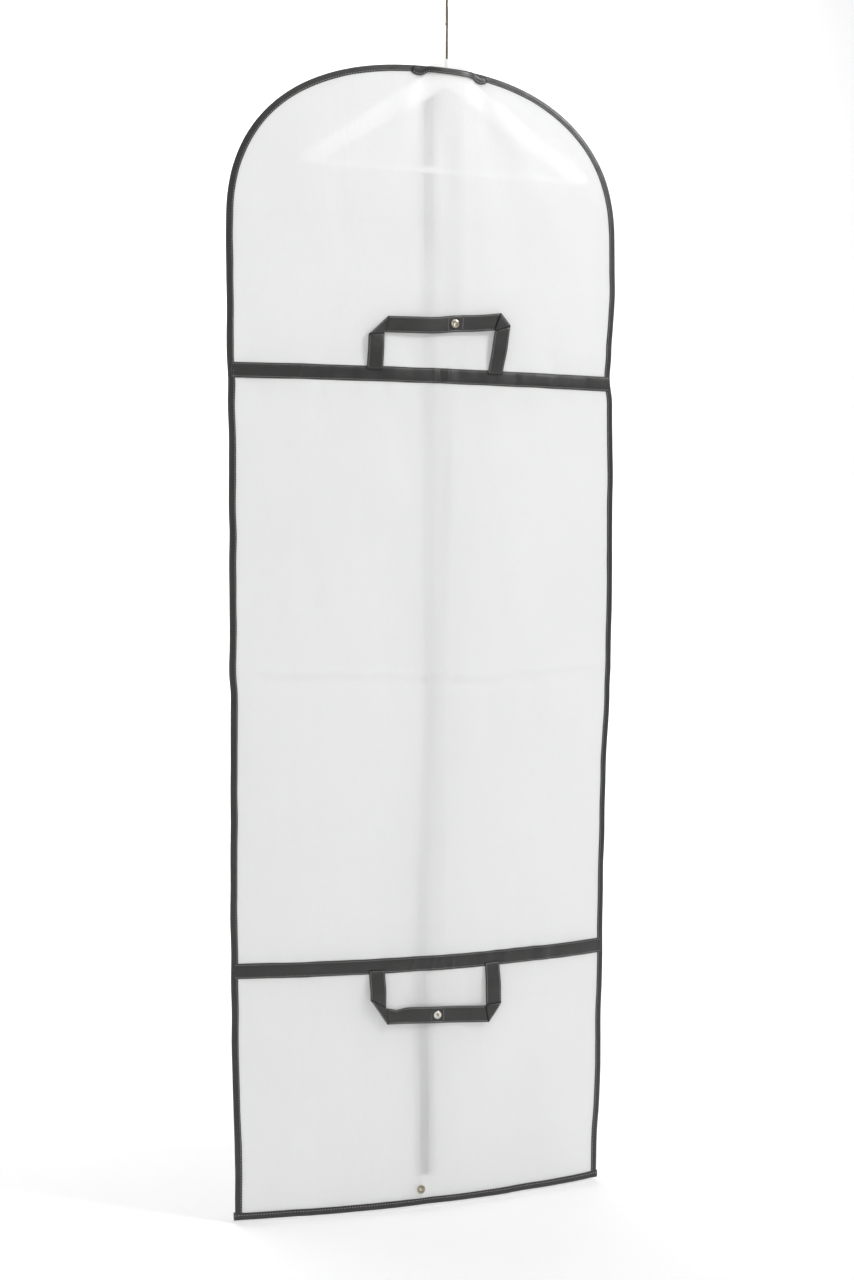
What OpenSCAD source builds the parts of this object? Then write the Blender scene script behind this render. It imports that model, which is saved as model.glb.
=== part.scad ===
// Dress-length folding garment bag on its hanger.
// The origin is the point inside the hook where the bag hangs from a rail.
// +Z up, -Y is the carry side with the handles, +Y is the zip side, X runs along the hanger.

/* [Bag] */
// Width of the bag across its side bindings
bag_w = 592; // [560:2:640]
// Height of the folded arch above the straight sides
arch_h = 238; // [200:2:260]
// Height of the top of the arch, measured down from the hang point
arch_top = -104; // [-112:1:-100]
// Length of the section between the arch top and the upper fold line
top_len = 435; // [410:1:470]
// Length of each of the two middle sections
mid_len = 433; // [410:1:450]
// Length of the bottom section
bottom_len = 341; // [300:1:360]
// Sideways offset of the bag's centre line from the hook
bag_x = -24; // [-30:1:0]
// Thickness of one layer of the bag's fabric with its lining allowance
layer_t = 1.2; // [0.8:0.1:1.6]
// Depth that the front bows forward at the centre
front_bow = 24; // [18:1:28]

/* [Trim] */
// Visible width of the edge binding
bind_w = 10; // [8:1:12]
// Thickness of the edge binding over both layers
bind_t = 6; // [5:0.5:7]
// Height of the bands across the front
band_h = 22; // [18:1:24]
// Width of the neck opening that the hanger passes
neck_w = 80; // [70:1:90]
// Sideways offset of the neck opening's centre from the hook
neck_x = 4; // [-8:1:6]

/* [Handles] */
// Outside width of each handle
handle_w = 208; // [180:2:230]
// Height of each handle out of its band
handle_h = 77; // [70:1:80]
// Width of the handle strap
strap_w = 24; // [18:1:26]
// Thickness of the handle strap
strap_t = 3; // [2:0.5:3]
// Diameter of the snap fastener halves
snap_d = 12.4; // [11:0.2:13]
// Sideways offset of the upper snap from its handle's middle
snap_x = 24; // [0:1:30]

/* [Hanger] */
// Overall width of the hanger
hanger_w = 446; // [430:2:450]
// Thickness of the hanger
hanger_t = 6.4; // [5:0.2:6.6]
// Diameter of the hook wire
wire_d = 3.5; // [3:0.1:3.6]
// Radius of the hook, at the centre of the wire
hook_r = 27; // [24:1:28]

/* [Eyelet] */
// Bore radius of the eyelet
eyelet_r = 2.75; // [2.5:0.05:3]
// Diameter of the eyelet's flange
eyelet_d = 12.4; // [11:0.2:13]
// Sideways offset of the eyelet from the bag's centre line
eyelet_x = -26; // [-28:1:-12]

/* [Hidden] */
$fn = 48;

white = [0.93, 0.935, 0.93];
black = [0.09, 0.085, 0.085];
nickel = [0.78, 0.77, 0.74];

hw = bag_w / 2;              // half width outside
iw = hw - bind_w;            // half width inside the bindings
ih = arch_h - bind_w;        // arch height inside the binding
z0 = arch_top - arch_h;      // where the arch starts
zf1 = arch_top - top_len;    // upper fold line, the top edge of the upper band
zf2 = zf1 - mid_len;         // middle fold line
zf3 = zf2 - mid_len;         // lower fold line, the bottom edge of the lower band
zb = zf3 - bottom_len;       // bottom edge
pw = 2.3;                    // exponent of the arch's rounded outline
cut = 0.3;                   // half of the gap at a fold line
front_edge = -2;             // y of the front layer at the side binding
hook_turn = 68.5;            // turn of the hook's plane from the hanger's line
tape_in = 3;                 // inner edge of a zip tape
tape_out = 15;               // outer edge of a zip tape
zip_top = -118.3;            // upper end of the zip coil
zip_end = zb + 41;           // lower end of the zip coil

// ---- cross-section of the bag ----
function c1(v) = min(1, max(0, v));
function rho(x, z) = z <= z0 ? abs(x) / iw
  : pow(pow(abs(x) / iw, pw) + pow((z - z0) / ih, pw), 1 / pw);
function neck_bump(x, z) = 9 * exp(-pow((x + bag_x) / 70, 2)) * exp(-pow((arch_top - z) / 60, 2));
function front_y(u) = front_edge - front_bow * (1 - c1(u * u));
// inner face of the back layer in each section: 0 top and upper middle, 1 lower middle, 2 bottom
function back_y(u, s) = s == 0 ? 0.3 + 10 * (1 - c1(pow(u, 6)))
  : s == 1 ? 0.5
  : -18.8 * (1 - c1(u * u));
function back_mid(s) = back_y(0, s);

steps = 24;
function span(a, b, n) = [for (i = [0 : n]) a + (b - a) * i / n];

// a layer's plan between x = a and b, from face y0(x) to y0(x) + t
module layer_plan(a, b, s, t) {
  xs = span(a, b, steps);
  polygon(concat([for (x = xs) [x, s < 0 ? front_y(x / iw) : back_y(x / iw, s)]],
    [for (i = [steps : -1 : 0]) [xs[i], (s < 0 ? front_y(xs[i] / iw) : back_y(xs[i] / iw, s)) + t]]));
}
module front_layer(z1, z2) {
  translate([bag_x, 0, z1]) linear_extrude(z2 - z1) layer_plan(-iw, iw, -1, layer_t);
}
module back_layer(z1, z2, s, side) {
  translate([bag_x, 0, z1]) linear_extrude(z2 - z1)
    layer_plan(side < 0 ? -iw : tape_out, side < 0 ? -tape_out : iw, s, layer_t);
}

// ---- arch ----
function arch_x(f, a) = a * (cos(f) >= 0 ? 1 : -1) * pow(abs(cos(f)), 2 / pw);
function arch_z(f, b) = b * pow(abs(sin(f)), 2 / pw);
arch_n = 60;
module arch_region(a, b, zlow) {
  polygon(concat([[a, zlow - z0]], [for (i = [0 : arch_n]) [arch_x(180 * i / arch_n, a), arch_z(180 * i / arch_n, b)]], [[-a, zlow - z0]]));
}
module arch_band(zlow) {
  difference() {
    arch_region(hw, arch_h, zlow);
    arch_region(iw, ih, zlow - 1);
  }
}
// stands a drawing made in x and z up in the x-z plane, from y = ya to y = yb
module upright(ya, yb) {
  translate([0, yb, 0]) rotate([90, 0, 0]) linear_extrude(yb - ya) children();
}

// ---- the top section's curved layers, closed towards the arch ----
top_rows = 20;
function row_z(i) = i == 0 ? zf1 + cut : i == 1 ? (zf1 + z0) / 2 : z0 + ih * pow(sin(86 * (i - 2) / (top_rows - 2)), 2 / pw);
function half_at(z) = z <= z0 ? iw : iw * pow(max(0, 1 - pow((z - z0) / ih, pw)), 1 / pw);
function f_top(x, z) = front_edge - front_bow * (1 - c1(pow(rho(x, z), 2))) - neck_bump(x, z);
function b_top(x, z) = 0.3 + 10 * (1 - c1(pow(rho(x, z), 6))) + neck_bump(x, z);
function col_x(z, j, n, side) = side == 0 ? half_at(z) * (-1 + 2 * j / n)
  : side * (tape_out + max(1, half_at(z) - tape_out) * j / n);
module curved_layer(side, n) {
  nr = top_rows + 1; nc = n + 1; m = nr * nc;
  function y_at(x, z) = side == 0 ? f_top(x, z) : b_top(x, z);
  pts = [for (k = [0, 1], i = [0 : top_rows], j = [0 : n])
    let (z = row_z(i), x = col_x(z, j, n, side)) [x, y_at(x, z) + k * layer_t, z]];
  id = function (k, i, j) k * m + i * nc + j;
  sheet = [for (i = [0 : top_rows - 1], j = [0 : n - 1], f = [0, 1])
    f == 0 ? [id(0, i, j), id(0, i + 1, j), id(0, i + 1, j + 1)] : [id(0, i, j), id(0, i + 1, j + 1), id(0, i, j + 1)]];
  rear = [for (f = sheet) [f[0] + m, f[2] + m, f[1] + m]];
  low = [for (j = [0 : n - 1], f = [0, 1]) f == 0 ? [id(0, 0, j), id(0, 0, j + 1), id(1, 0, j + 1)] : [id(0, 0, j), id(1, 0, j + 1), id(1, 0, j)]];
  high = [for (j = [0 : n - 1], f = [0, 1]) f == 0 ? [id(0, top_rows, j), id(1, top_rows, j + 1), id(0, top_rows, j + 1)] : [id(0, top_rows, j), id(1, top_rows, j), id(1, top_rows, j + 1)]];
  left = [for (i = [0 : top_rows - 1], f = [0, 1]) f == 0 ? [id(0, i, 0), id(1, i + 1, 0), id(0, i + 1, 0)] : [id(0, i, 0), id(1, i, 0), id(1, i + 1, 0)]];
  right = [for (i = [0 : top_rows - 1], f = [0, 1]) f == 0 ? [id(0, i, n), id(0, i + 1, n), id(1, i + 1, n)] : [id(0, i, n), id(1, i + 1, n), id(1, i, n)]];
  all = concat(sheet, rear, low, high, left, right);
  translate([bag_x, 0, 0]) polyhedron(pts, side < 0 ? [for (f = all) [f[0], f[2], f[1]]] : all);
}

module front_panel_top() { color(white) curved_layer(0, 16); }
module back_panel_top_left() { color(white) curved_layer(-1, 9); }
module back_panel_top_right() { color(white) curved_layer(1, 9); }

module front_panel_upper_mid() { color(white) front_layer(zf2 + cut, zf1 - cut); }
module front_panel_lower_mid() { color(white) front_layer(zf3 + cut, zf2 - cut); }
module front_panel_bottom() {
  color(white) difference() {
    front_layer(zb + bind_w, zf3 - cut);
    eyelet_hole();
  }
}
module back_panel_upper_mid_left() { color(white) back_layer(zf2 + cut, zf1 - cut, 0, -1); }
module back_panel_upper_mid_right() { color(white) back_layer(zf2 + cut, zf1 - cut, 0, 1); }
module back_panel_lower_mid_left() { color(white) back_layer(zf3 + cut, zf2 - cut, 1, -1); }
module back_panel_lower_mid_right() { color(white) back_layer(zf3 + cut, zf2 - cut, 1, 1); }
// below the end of the zip the two halves meet in the middle
module back_panel_bottom_left() {
  color(white) difference() {
    union() {
      back_layer(zb + bind_w, zf3 - cut, 2, -1);
      translate([bag_x, 0, zb + bind_w]) linear_extrude(zip_end - 1 - zb - bind_w) layer_plan(-tape_out, 0, 2, layer_t);
    }
    eyelet_hole();
  }
}
module back_panel_bottom_right() {
  color(white) union() {
    back_layer(zb + bind_w, zf3 - cut, 2, 1);
    translate([bag_x, 0, zb + bind_w]) linear_extrude(zip_end - 1 - zb - bind_w) layer_plan(0, tape_out, 2, layer_t);
  }
}

// ---- bindings and bands ----
module neck_window() { translate([neck_x - bag_x - neck_w / 2, 100]) square([neck_w, 200]); }
module arch_binding() {
  color(black) translate([bag_x, 0, z0]) upright(-bind_t / 2, bind_t / 2)
    difference() { arch_band(zf1 + cut); neck_window(); }
}
module neck_strip(ya) {
  translate([bag_x, 0, z0]) upright(ya, ya + 3)
    intersection() { arch_band(zf1 + cut); neck_window(); }
}
module neck_binding_front() { color(black) neck_strip(-12.6); }
module neck_binding_back() { color(black) neck_strip(9.6); }

module side_binding(side, z1, z2) {
  color(black) translate([bag_x + (side < 0 ? -hw : iw), -bind_t / 2, z1]) cube([bind_w, bind_t, z2 - z1]);
}
module side_binding_upper_mid_left() { side_binding(-1, zf2 + cut, zf1 - cut); }
module side_binding_upper_mid_right() { side_binding(1, zf2 + cut, zf1 - cut); }
module side_binding_lower_mid_left() { side_binding(-1, zf3 + cut, zf2 - cut); }
module side_binding_lower_mid_right() { side_binding(1, zf3 + cut, zf2 - cut); }
module side_binding_bottom_left() { side_binding(-1, zb + bind_w, zf3 - cut); }
module side_binding_bottom_right() { side_binding(1, zb + bind_w, zf3 - cut); }
module bottom_binding() {
  xs = span(-hw - 2, hw + 2, 30);
  color(black) translate([bag_x, 0, zb]) linear_extrude(bind_w)
    polygon(concat([for (x = xs) [x, front_y(x / iw) - 1]],
      [for (i = [30 : -1 : 0]) [xs[i], back_y(xs[i] / iw, 2) + layer_t + 1]]));
}
module band(z1) {
  color(black) translate([bag_x, -1.8, z1]) linear_extrude(band_h - cut) layer_plan(-iw, iw, -1, 1.8);
}
module upper_band() { band(zf1 - band_h); }
module lower_band() { band(zf3 + cut); }

// ---- handles: a flat strap with mitred corners, drawn standing up from z = 0 ----
module handle_outline() {
  h = handle_h; w = handle_w / 2; c = 24;
  difference() {
    polygon([[-w, 0], [-w, h - c], [-w + c, h], [w - c, h], [w, h - c], [w, 0]]);
    translate([-w + strap_w, -1]) square([2 * (w - strap_w), h - strap_w + 1]);
  }
}
grip_z = handle_h - strap_w / 2;
handle_y = -30.5;            // middle plane of both handles
module handle(up) {
  difference() {
    upright(-strap_t / 2, strap_t / 2) mirror([0, up > 0 ? 0 : 1]) handle_outline();
    translate([up > 0 ? snap_x : 0, 0, up * grip_z]) rotate([90, 0, 0]) cylinder(h = 10, r = 2, center = true);
  }
}
upper_pivot = zf1 - 1;
lower_pivot = zf3 + 1;
module at_upper() { translate([bag_x, handle_y, upper_pivot]) children(); }
module at_lower() { translate([bag_x - 3, handle_y, lower_pivot]) children(); }
module upper_handle() { color(black) at_upper() handle(1); }
module lower_handle() { color(black) at_lower() handle(-1); }

// ---- snap fastener halves: y = 0 is the strap's face, the piece stands out towards -y ----
module snap_socket_shape() {
  rotate([90, 0, 0]) difference() {
    union() {
      cylinder(h = 1.0, r = snap_d / 2);
      translate([0, 0, 1.0]) cylinder(h = 0.9, r1 = snap_d / 2 - 1.2, r2 = snap_d / 2 - 2.4);
    }
    translate([0, 0, 0.4]) cylinder(h = 3, r = 2.1);
  }
}
module snap_stud_shape() {
  rotate([90, 0, 0]) union() {
    cylinder(h = 0.9, r = snap_d / 2 - 0.7);
    cylinder(h = 2.6, r = 1.7);
    translate([0, 0, 1.9]) cylinder(h = 0.7, r = 1.95);
  }
}
// rear cap with the rivet post that runs forward through the strap
module snap_cap_shape() {
  rotate([90, 0, 0]) union() {
    translate([0, 0, -1.2]) cylinder(h = 1.2, r = snap_d / 2 - 0.4);
    cylinder(h = strap_t, r = 1.8);
  }
}
module upper_snap_socket() { color(nickel) at_upper() translate([snap_x, -strap_t / 2, grip_z]) snap_socket_shape(); }
module upper_snap_cap() { color(nickel) at_upper() translate([snap_x, strap_t / 2, grip_z]) snap_cap_shape(); }
module lower_snap_stud() { color(nickel) at_lower() translate([0, -strap_t / 2, -grip_z]) snap_stud_shape(); }
module lower_snap_cap() { color(nickel) at_lower() translate([0, strap_t / 2, -grip_z]) snap_cap_shape(); }

// ---- eyelet through both layers ----
eyelet_z = zb + 24;
eye_front = front_y(0);
eye_back = back_y(0, 2) + layer_t;
module at_eyelet() { translate([bag_x + eyelet_x, 0, eyelet_z]) rotate([90, 0, 0]) children(); }
module eyelet_hole() { at_eyelet() cylinder(h = 80, r = 3.6, center = true); }
module eyelet() {
  color(nickel) at_eyelet() difference() {
    union() {
      translate([0, 0, -eye_front + 0.1]) cylinder(h = 0.9, r = eyelet_d / 2);
      translate([0, 0, -eye_back - 0.3]) cylinder(h = eye_back - eye_front + 1.3, r = 3.4);
    }
    cylinder(h = 80, r = eyelet_r, center = true);
  }
}
module eyelet_washer() {
  color(nickel) at_eyelet() difference() {
    translate([0, 0, -eye_back - 1.1]) cylinder(h = 0.8, r = eyelet_d / 2);
    cylinder(h = 80, r = 3, center = true);
  }
}

// ---- zip: tapes beside a closed coil, down the middle of the back ----
module tape(side, z1, z2, s) {
  color(black) translate([bag_x + (side < 0 ? -tape_out : tape_in), back_mid(s), z1]) cube([tape_out - tape_in, layer_t, z2 - z1]);
}
module zip_tape_top_left() { tape(-1, zf1 + cut, zip_top + 3, 0); }
module zip_tape_top_right() { tape(1, zf1 + cut, zip_top + 3, 0); }
module zip_tape_upper_mid_left() { tape(-1, zf2 + cut, zf1 - cut, 0); }
module zip_tape_upper_mid_right() { tape(1, zf2 + cut, zf1 - cut, 0); }
module zip_tape_lower_mid_left() { tape(-1, zf3 + cut, zf2 - cut, 1); }
module zip_tape_lower_mid_right() { tape(1, zf3 + cut, zf2 - cut, 1); }
module tape_bottom(side) {
  color(black) translate([bag_x, 0, zip_end]) linear_extrude(zf3 - cut - zip_end)
    layer_plan(side < 0 ? -tape_out : tape_in, side < 0 ? -tape_in : tape_out, 2, layer_t);
}
module zip_tape_bottom_left() { tape_bottom(-1); }
module zip_tape_bottom_right() { tape_bottom(1); }
// two coil halves that meet in the middle
module coil(z1, z2, s) {
  color(black) for (k = [-1, 1])
    translate([bag_x + (k < 0 ? -tape_in : 0.05), back_mid(s) - 0.3, z1]) cube([tape_in - 0.05, 2.4, z2 - z1]);
}
module zip_coil_top() { coil(zf1 + cut, zip_top, 0); }
module zip_coil_upper_mid() { coil(zf2 + cut, zf1 - cut, 0); }
module zip_coil_lower_mid() { coil(zf3 + cut, zf2 - cut, 1); }
module zip_coil_bottom() { coil(zip_end + 4, zf3 - cut, 2); }
module zip_top_stops() {
  color(nickel) for (k = [-1, 1])
    translate([bag_x + (k < 0 ? -tape_in : 0.6), back_mid(0) - 0.3, zip_top + 0.4]) cube([tape_in - 0.6, 2.4, 2.4]);
}
module zip_bottom_stop() {
  color(nickel) translate([bag_x - tape_in, back_mid(2) - 0.3, zip_end]) cube([2 * tape_in, 2.6, 4]);
}

// slider: a saddle over the coil, with two ears and a pin for the pull
slide_z = zip_top - 13;
slide_y = back_mid(0) + 2.1;     // the coil's outer face
pin_y = slide_y + 4.1;
pin_z = slide_z + 8;
module zip_slider() {
  color(nickel) translate([bag_x, 0, 0]) union() {
    difference() {
      translate([-5, slide_y - 0.5, slide_z]) cube([10, 2.4, 12.6]);
      translate([-3.4, slide_y - 1, slide_z - 1]) cube([6.8, 1.5, 15]);
    }
    for (k = [-1, 1]) translate([k < 0 ? -4 : 2.8, slide_y + 1.8, pin_z - 2]) cube([1.2, 4, 4]);
    translate([-3, pin_y, pin_z]) rotate([0, 90, 0]) cylinder(h = 6, r = 0.8);
  }
}
module zip_pull() {
  color(nickel) translate([bag_x, pin_y, pin_z]) difference() {
    union() {
      rotate([0, 90, 0]) cylinder(h = 5, r = 1.75, center = true);
      translate([-2.5, 0.2, -10]) cube([5, 1.5, 10]);
      translate([-4, 0.2, -32]) cube([8, 1.5, 23]);
    }
    rotate([0, 90, 0]) cylinder(h = 8, r = 1.0, center = true);
    translate([0, 0, -27]) rotate([90, 0, 0]) cylinder(h = 8, r = 2, center = true);
  }
}

// ---- hanger and its hook ----
neck_top = -93;
module hanger_half() {
  w = hanger_w / 2;
  polygon([[0, neck_top], [7, neck_top - 0.6], [16, neck_top - 4], [26, -102.5], [31.5, -107], [35.4, -119], [w - 22, -230],
    [w - 6, -240], [w, -247], [w - 1, -253], [w - 7, -256.5], [w - 30, -256.5], [w - 30, -248.5], [w - 37, -247],
    [20, -145], [8, -135.5], [0, -134]]);
}
module hanger() {
  color(white) difference() {
    union() {
      upright(-hanger_t / 2, hanger_t / 2) union() {
        hanger_half();
        mirror([1, 0]) hanger_half();
        translate([-hanger_w / 2 + 28, -256.5]) square([hanger_w - 56, 8]);
      }
      translate([0, 0, neck_top - 20]) cylinder(h = 20, r = 5.5);
    }
    translate([0, 0, neck_top - 16]) cylinder(h = 20, r = 2.1);
  }
}
hook_zc = -(hook_r - wire_d / 2);
bend_r = 12;
bend_z = hook_zc - sqrt(pow(hook_r + bend_r, 2) - bend_r * bend_r);
bend_a = 90 - asin(bend_r / (hook_r + bend_r));
module hook() {
  r = wire_d / 2;
  color(nickel) rotate([0, 0, hook_turn + 180]) union() {
    translate([0, 0, neck_top - 14]) cylinder(h = bend_z - neck_top + 14, r = r);
    translate([0, 0, neck_top - 14]) cylinder(h = 40, r = 2);
    translate([bend_r, 0, bend_z]) rotate([90, 0, 0]) rotate([0, 0, 180 - bend_a]) rotate_extrude(angle = bend_a) translate([bend_r, 0]) circle(r = r);
    translate([0, 0, hook_zc]) rotate([90, 0, 0]) rotate([0, 0, -bend_a]) rotate_extrude(angle = 200 + bend_a) translate([hook_r, 0]) circle(r = r);
    translate([hook_r * cos(200), 0, hook_zc + hook_r * sin(200)]) sphere(r = 2.4);
  }
}

hook();
hanger();
front_panel_top();
front_panel_upper_mid();
front_panel_lower_mid();
front_panel_bottom();
back_panel_top_left();
back_panel_top_right();
back_panel_upper_mid_left();
back_panel_upper_mid_right();
back_panel_lower_mid_left();
back_panel_lower_mid_right();
back_panel_bottom_left();
back_panel_bottom_right();
arch_binding();
neck_binding_front();
neck_binding_back();
side_binding_upper_mid_left();
side_binding_upper_mid_right();
side_binding_lower_mid_left();
side_binding_lower_mid_right();
side_binding_bottom_left();
side_binding_bottom_right();
bottom_binding();
upper_band();
lower_band();
upper_handle();
lower_handle();
upper_snap_socket();
upper_snap_cap();
lower_snap_stud();
lower_snap_cap();
eyelet();
eyelet_washer();
zip_tape_top_left();
zip_tape_top_right();
zip_tape_upper_mid_left();
zip_tape_upper_mid_right();
zip_tape_lower_mid_left();
zip_tape_lower_mid_right();
zip_tape_bottom_left();
zip_tape_bottom_right();
zip_coil_top();
zip_coil_upper_mid();
zip_coil_lower_mid();
zip_coil_bottom();
zip_slider();
zip_pull();
zip_top_stops();
zip_bottom_stop();
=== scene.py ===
import math

import bpy
import bmesh
import numpy as np
from mathutils import Matrix, Vector


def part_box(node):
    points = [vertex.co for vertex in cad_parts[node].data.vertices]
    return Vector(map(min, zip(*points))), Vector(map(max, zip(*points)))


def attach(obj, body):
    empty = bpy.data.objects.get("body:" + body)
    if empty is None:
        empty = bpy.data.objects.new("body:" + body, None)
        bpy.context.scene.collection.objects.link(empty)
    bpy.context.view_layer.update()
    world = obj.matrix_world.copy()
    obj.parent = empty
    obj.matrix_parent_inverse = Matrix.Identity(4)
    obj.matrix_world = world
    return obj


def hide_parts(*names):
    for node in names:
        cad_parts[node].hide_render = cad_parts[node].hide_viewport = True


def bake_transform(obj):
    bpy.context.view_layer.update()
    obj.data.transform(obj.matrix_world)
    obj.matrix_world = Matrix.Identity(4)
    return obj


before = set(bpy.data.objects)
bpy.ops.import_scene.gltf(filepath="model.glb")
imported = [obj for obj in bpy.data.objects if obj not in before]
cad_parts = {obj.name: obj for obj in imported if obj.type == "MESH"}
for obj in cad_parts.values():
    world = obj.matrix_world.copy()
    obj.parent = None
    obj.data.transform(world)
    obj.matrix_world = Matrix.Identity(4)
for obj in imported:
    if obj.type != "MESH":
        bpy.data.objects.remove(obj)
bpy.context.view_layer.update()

scene = bpy.context.scene

# ------------------------------------------------------------------ places, all from the CAD boxes (metres)
def lo(n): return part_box(n)[0]
def hi(n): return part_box(n)[1]

Z_TOP = hi("arch_binding").z                     # top of the arch
Z_F1 = hi("upper_band").z + 0.0003               # upper fold line
Z_F2 = lo("front_panel_upper_mid").z - 0.0003    # middle fold line
Z_F3 = lo("lower_band").z - 0.0003               # lower fold line
Z_B = lo("bottom_binding").z                     # bottom edge
HW = (hi("arch_binding").x - lo("arch_binding").x) / 2
CX = (hi("arch_binding").x + lo("arch_binding").x) / 2
ARCH_B = 0.238                                   # rise of the arch
Z_A = Z_TOP - ARCH_B
PW = 2.3
RIDGE = -0.0260                                  # y of the front cloth at the centre
BIND = 0.0098                                    # visible width of the edge binding
TILT = 0.0014                                    # how much further back its outer edge lies than its inner one
EYE = (lo("eyelet") + hi("eyelet")) / 2
NECK = (lo("neck_binding_front").x, hi("neck_binding_front").x)
ZIP_END = lo("zip_tape_bottom_left").z

# ------------------------------------------------------------------ camera, at the photograph's angle
AZ, PITCH = math.radians(-21.5), math.radians(1.72)
cam_data = bpy.data.cameras.new("camera")
cam_data.lens = 56.25
cam_data.sensor_width = 36.0
cam_data.clip_start, cam_data.clip_end = 0.05, 60
cam = bpy.data.objects.new("camera", cam_data)
scene.collection.objects.link(cam)
cam.location = (-1.0918, -2.6938, -0.842)
cam.rotation_euler = (math.pi / 2 - PITCH, 0, AZ)
scene.camera = cam
scene.view_settings.view_transform = "Standard"

# ------------------------------------------------------------------ small helpers
LATTICES = {}
def lattice(seed):
    if seed not in LATTICES:
        LATTICES[seed] = np.random.RandomState(seed).rand(64, 64)
    return LATTICES[seed]

def noise2(x, z, sx, sz, seed):
    """Smooth value noise from -1 to 1, with cells sx by sz metres."""
    g = lattice(seed)
    u, v = np.asarray(x) / sx + 31.7, np.asarray(z) / sz + 47.3
    i, j = np.floor(u).astype(int), np.floor(v).astype(int)
    a, b = u - i, v - j
    a, b = a * a * (3 - 2 * a), b * b * (3 - 2 * b)
    i0, j0, i1, j1 = i % 64, j % 64, (i + 1) % 64, (j + 1) % 64
    return 2 * ((g[i0, j0] * (1 - a) + g[i1, j0] * a) * (1 - b) + (g[i0, j1] * (1 - a) + g[i1, j1] * a) * b) - 1

def gauss(t, w):
    return np.exp(-(np.asarray(t) / w) ** 2)

def smooth(t, a, b):
    t = np.clip((np.asarray(t, float) - a) / (b - a), 0, 1)
    return t * t * (3 - 2 * t)

def curve(z, knots):
    """Smooth curve through (distance below the arch top in metres, value) knots."""
    d = Z_TOP - np.asarray(z, float)
    k = np.array(knots, float)
    out = np.full_like(d, k[0, 1])
    for (a, va), (b, vb) in zip(k[:-1], k[1:]):
        t = np.clip((d - a) / (b - a), 0, 1)
        out = np.where(d >= a, va + (vb - va) * t * t * (3 - 2 * t), out)
    return out

class Build:
    """Collects points and faces, then makes one mesh object."""
    def __init__(self):
        self.v, self.f, self.m = [], [], []
        self.n = 0
    def add(self, verts, faces, mat=0):
        verts = np.asarray(verts, float).reshape(-1, 3)
        self.v.append(verts)
        self.f.extend([tuple(int(i) + self.n for i in f) for f in faces])
        self.m.extend([mat] * len(faces))
        self.n += len(verts)
    def make(self, name, mats, shade=True):
        me = bpy.data.meshes.new(name)
        me.from_pydata(np.vstack(self.v).tolist(), [], self.f)
        for m in mats:
            me.materials.append(m)
        me.polygons.foreach_set("material_index", self.m)
        me.polygons.foreach_set("use_smooth", [shade] * len(self.f))
        me.update()
        ob = bpy.data.objects.new(name, me)
        scene.collection.objects.link(ob)
        return ob

def outward(ob):
    bm = bmesh.new()
    bm.from_mesh(ob.data)
    bmesh.ops.recalc_face_normals(bm, faces=bm.faces)
    bm.to_mesh(ob.data)
    bm.free()
    return ob

def grid_faces(nr, nc, flip=False):
    f = []
    for i in range(nr - 1):
        for j in range(nc - 1):
            a, b, c, d = i * nc + j, i * nc + j + 1, (i + 1) * nc + j + 1, (i + 1) * nc + j
            f.append((a, d, c, b) if flip else (a, b, c, d))
    return f

def tube_faces(n, m, closed_path=False):
    f = []
    for i in range(n - 1):
        for j in range(m):
            k = (j + 1) % m
            f.append((i * m + j, i * m + k, (i + 1) * m + k, (i + 1) * m + j))
    f.append(tuple(range(m - 1, -1, -1)))
    f.append(tuple(range((n - 1) * m, n * m)))
    return f

# ------------------------------------------------------------------ materials
def new_mat(name):
    m = bpy.data.materials.new(name)
    m.use_nodes = True
    nt = m.node_tree
    nt.nodes.clear()
    out = nt.nodes.new("ShaderNodeOutputMaterial")
    p = nt.nodes.new("ShaderNodeBsdfPrincipled")
    nt.links.new(p.outputs[0], out.inputs[0])
    return m, nt, p, out

def node(nt, kind, **kw):
    n = nt.nodes.new(kind)
    for k, v in kw.items():
        if k in n.inputs.keys():
            n.inputs[k].default_value = v
        else:
            setattr(n, k, v)
    return n

def ramp(nt, src, stops):
    r = nt.nodes.new("ShaderNodeValToRGB")
    while len(r.color_ramp.elements) < len(stops):
        r.color_ramp.elements.new(0.5)
    for e, (pos, col) in zip(r.color_ramp.elements, stops):
        e.position = pos
        e.color = (*col, 1) if len(col) == 3 else col
    nt.links.new(src, r.inputs[0])
    return r

def g3(v): return (v, v, v)

def bump(nt, height, strength, dist, normal=None):
    b = node(nt, "ShaderNodeBump")
    b.inputs["Strength"].default_value = strength
    b.inputs["Distance"].default_value = dist
    nt.links.new(height, b.inputs["Height"])
    if normal is not None:
        nt.links.new(normal, b.inputs["Normal"])
    return b

def mapping(nt, scale=(1, 1, 1), rot=(0, 0, 0)):
    tc = nt.nodes.new("ShaderNodeTexCoord")
    mp = nt.nodes.new("ShaderNodeMapping")
    mp.inputs["Scale"].default_value = scale
    mp.inputs["Rotation"].default_value = rot
    nt.links.new(tc.outputs["Object"], mp.inputs["Vector"])
    return mp.outputs["Vector"]

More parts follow.
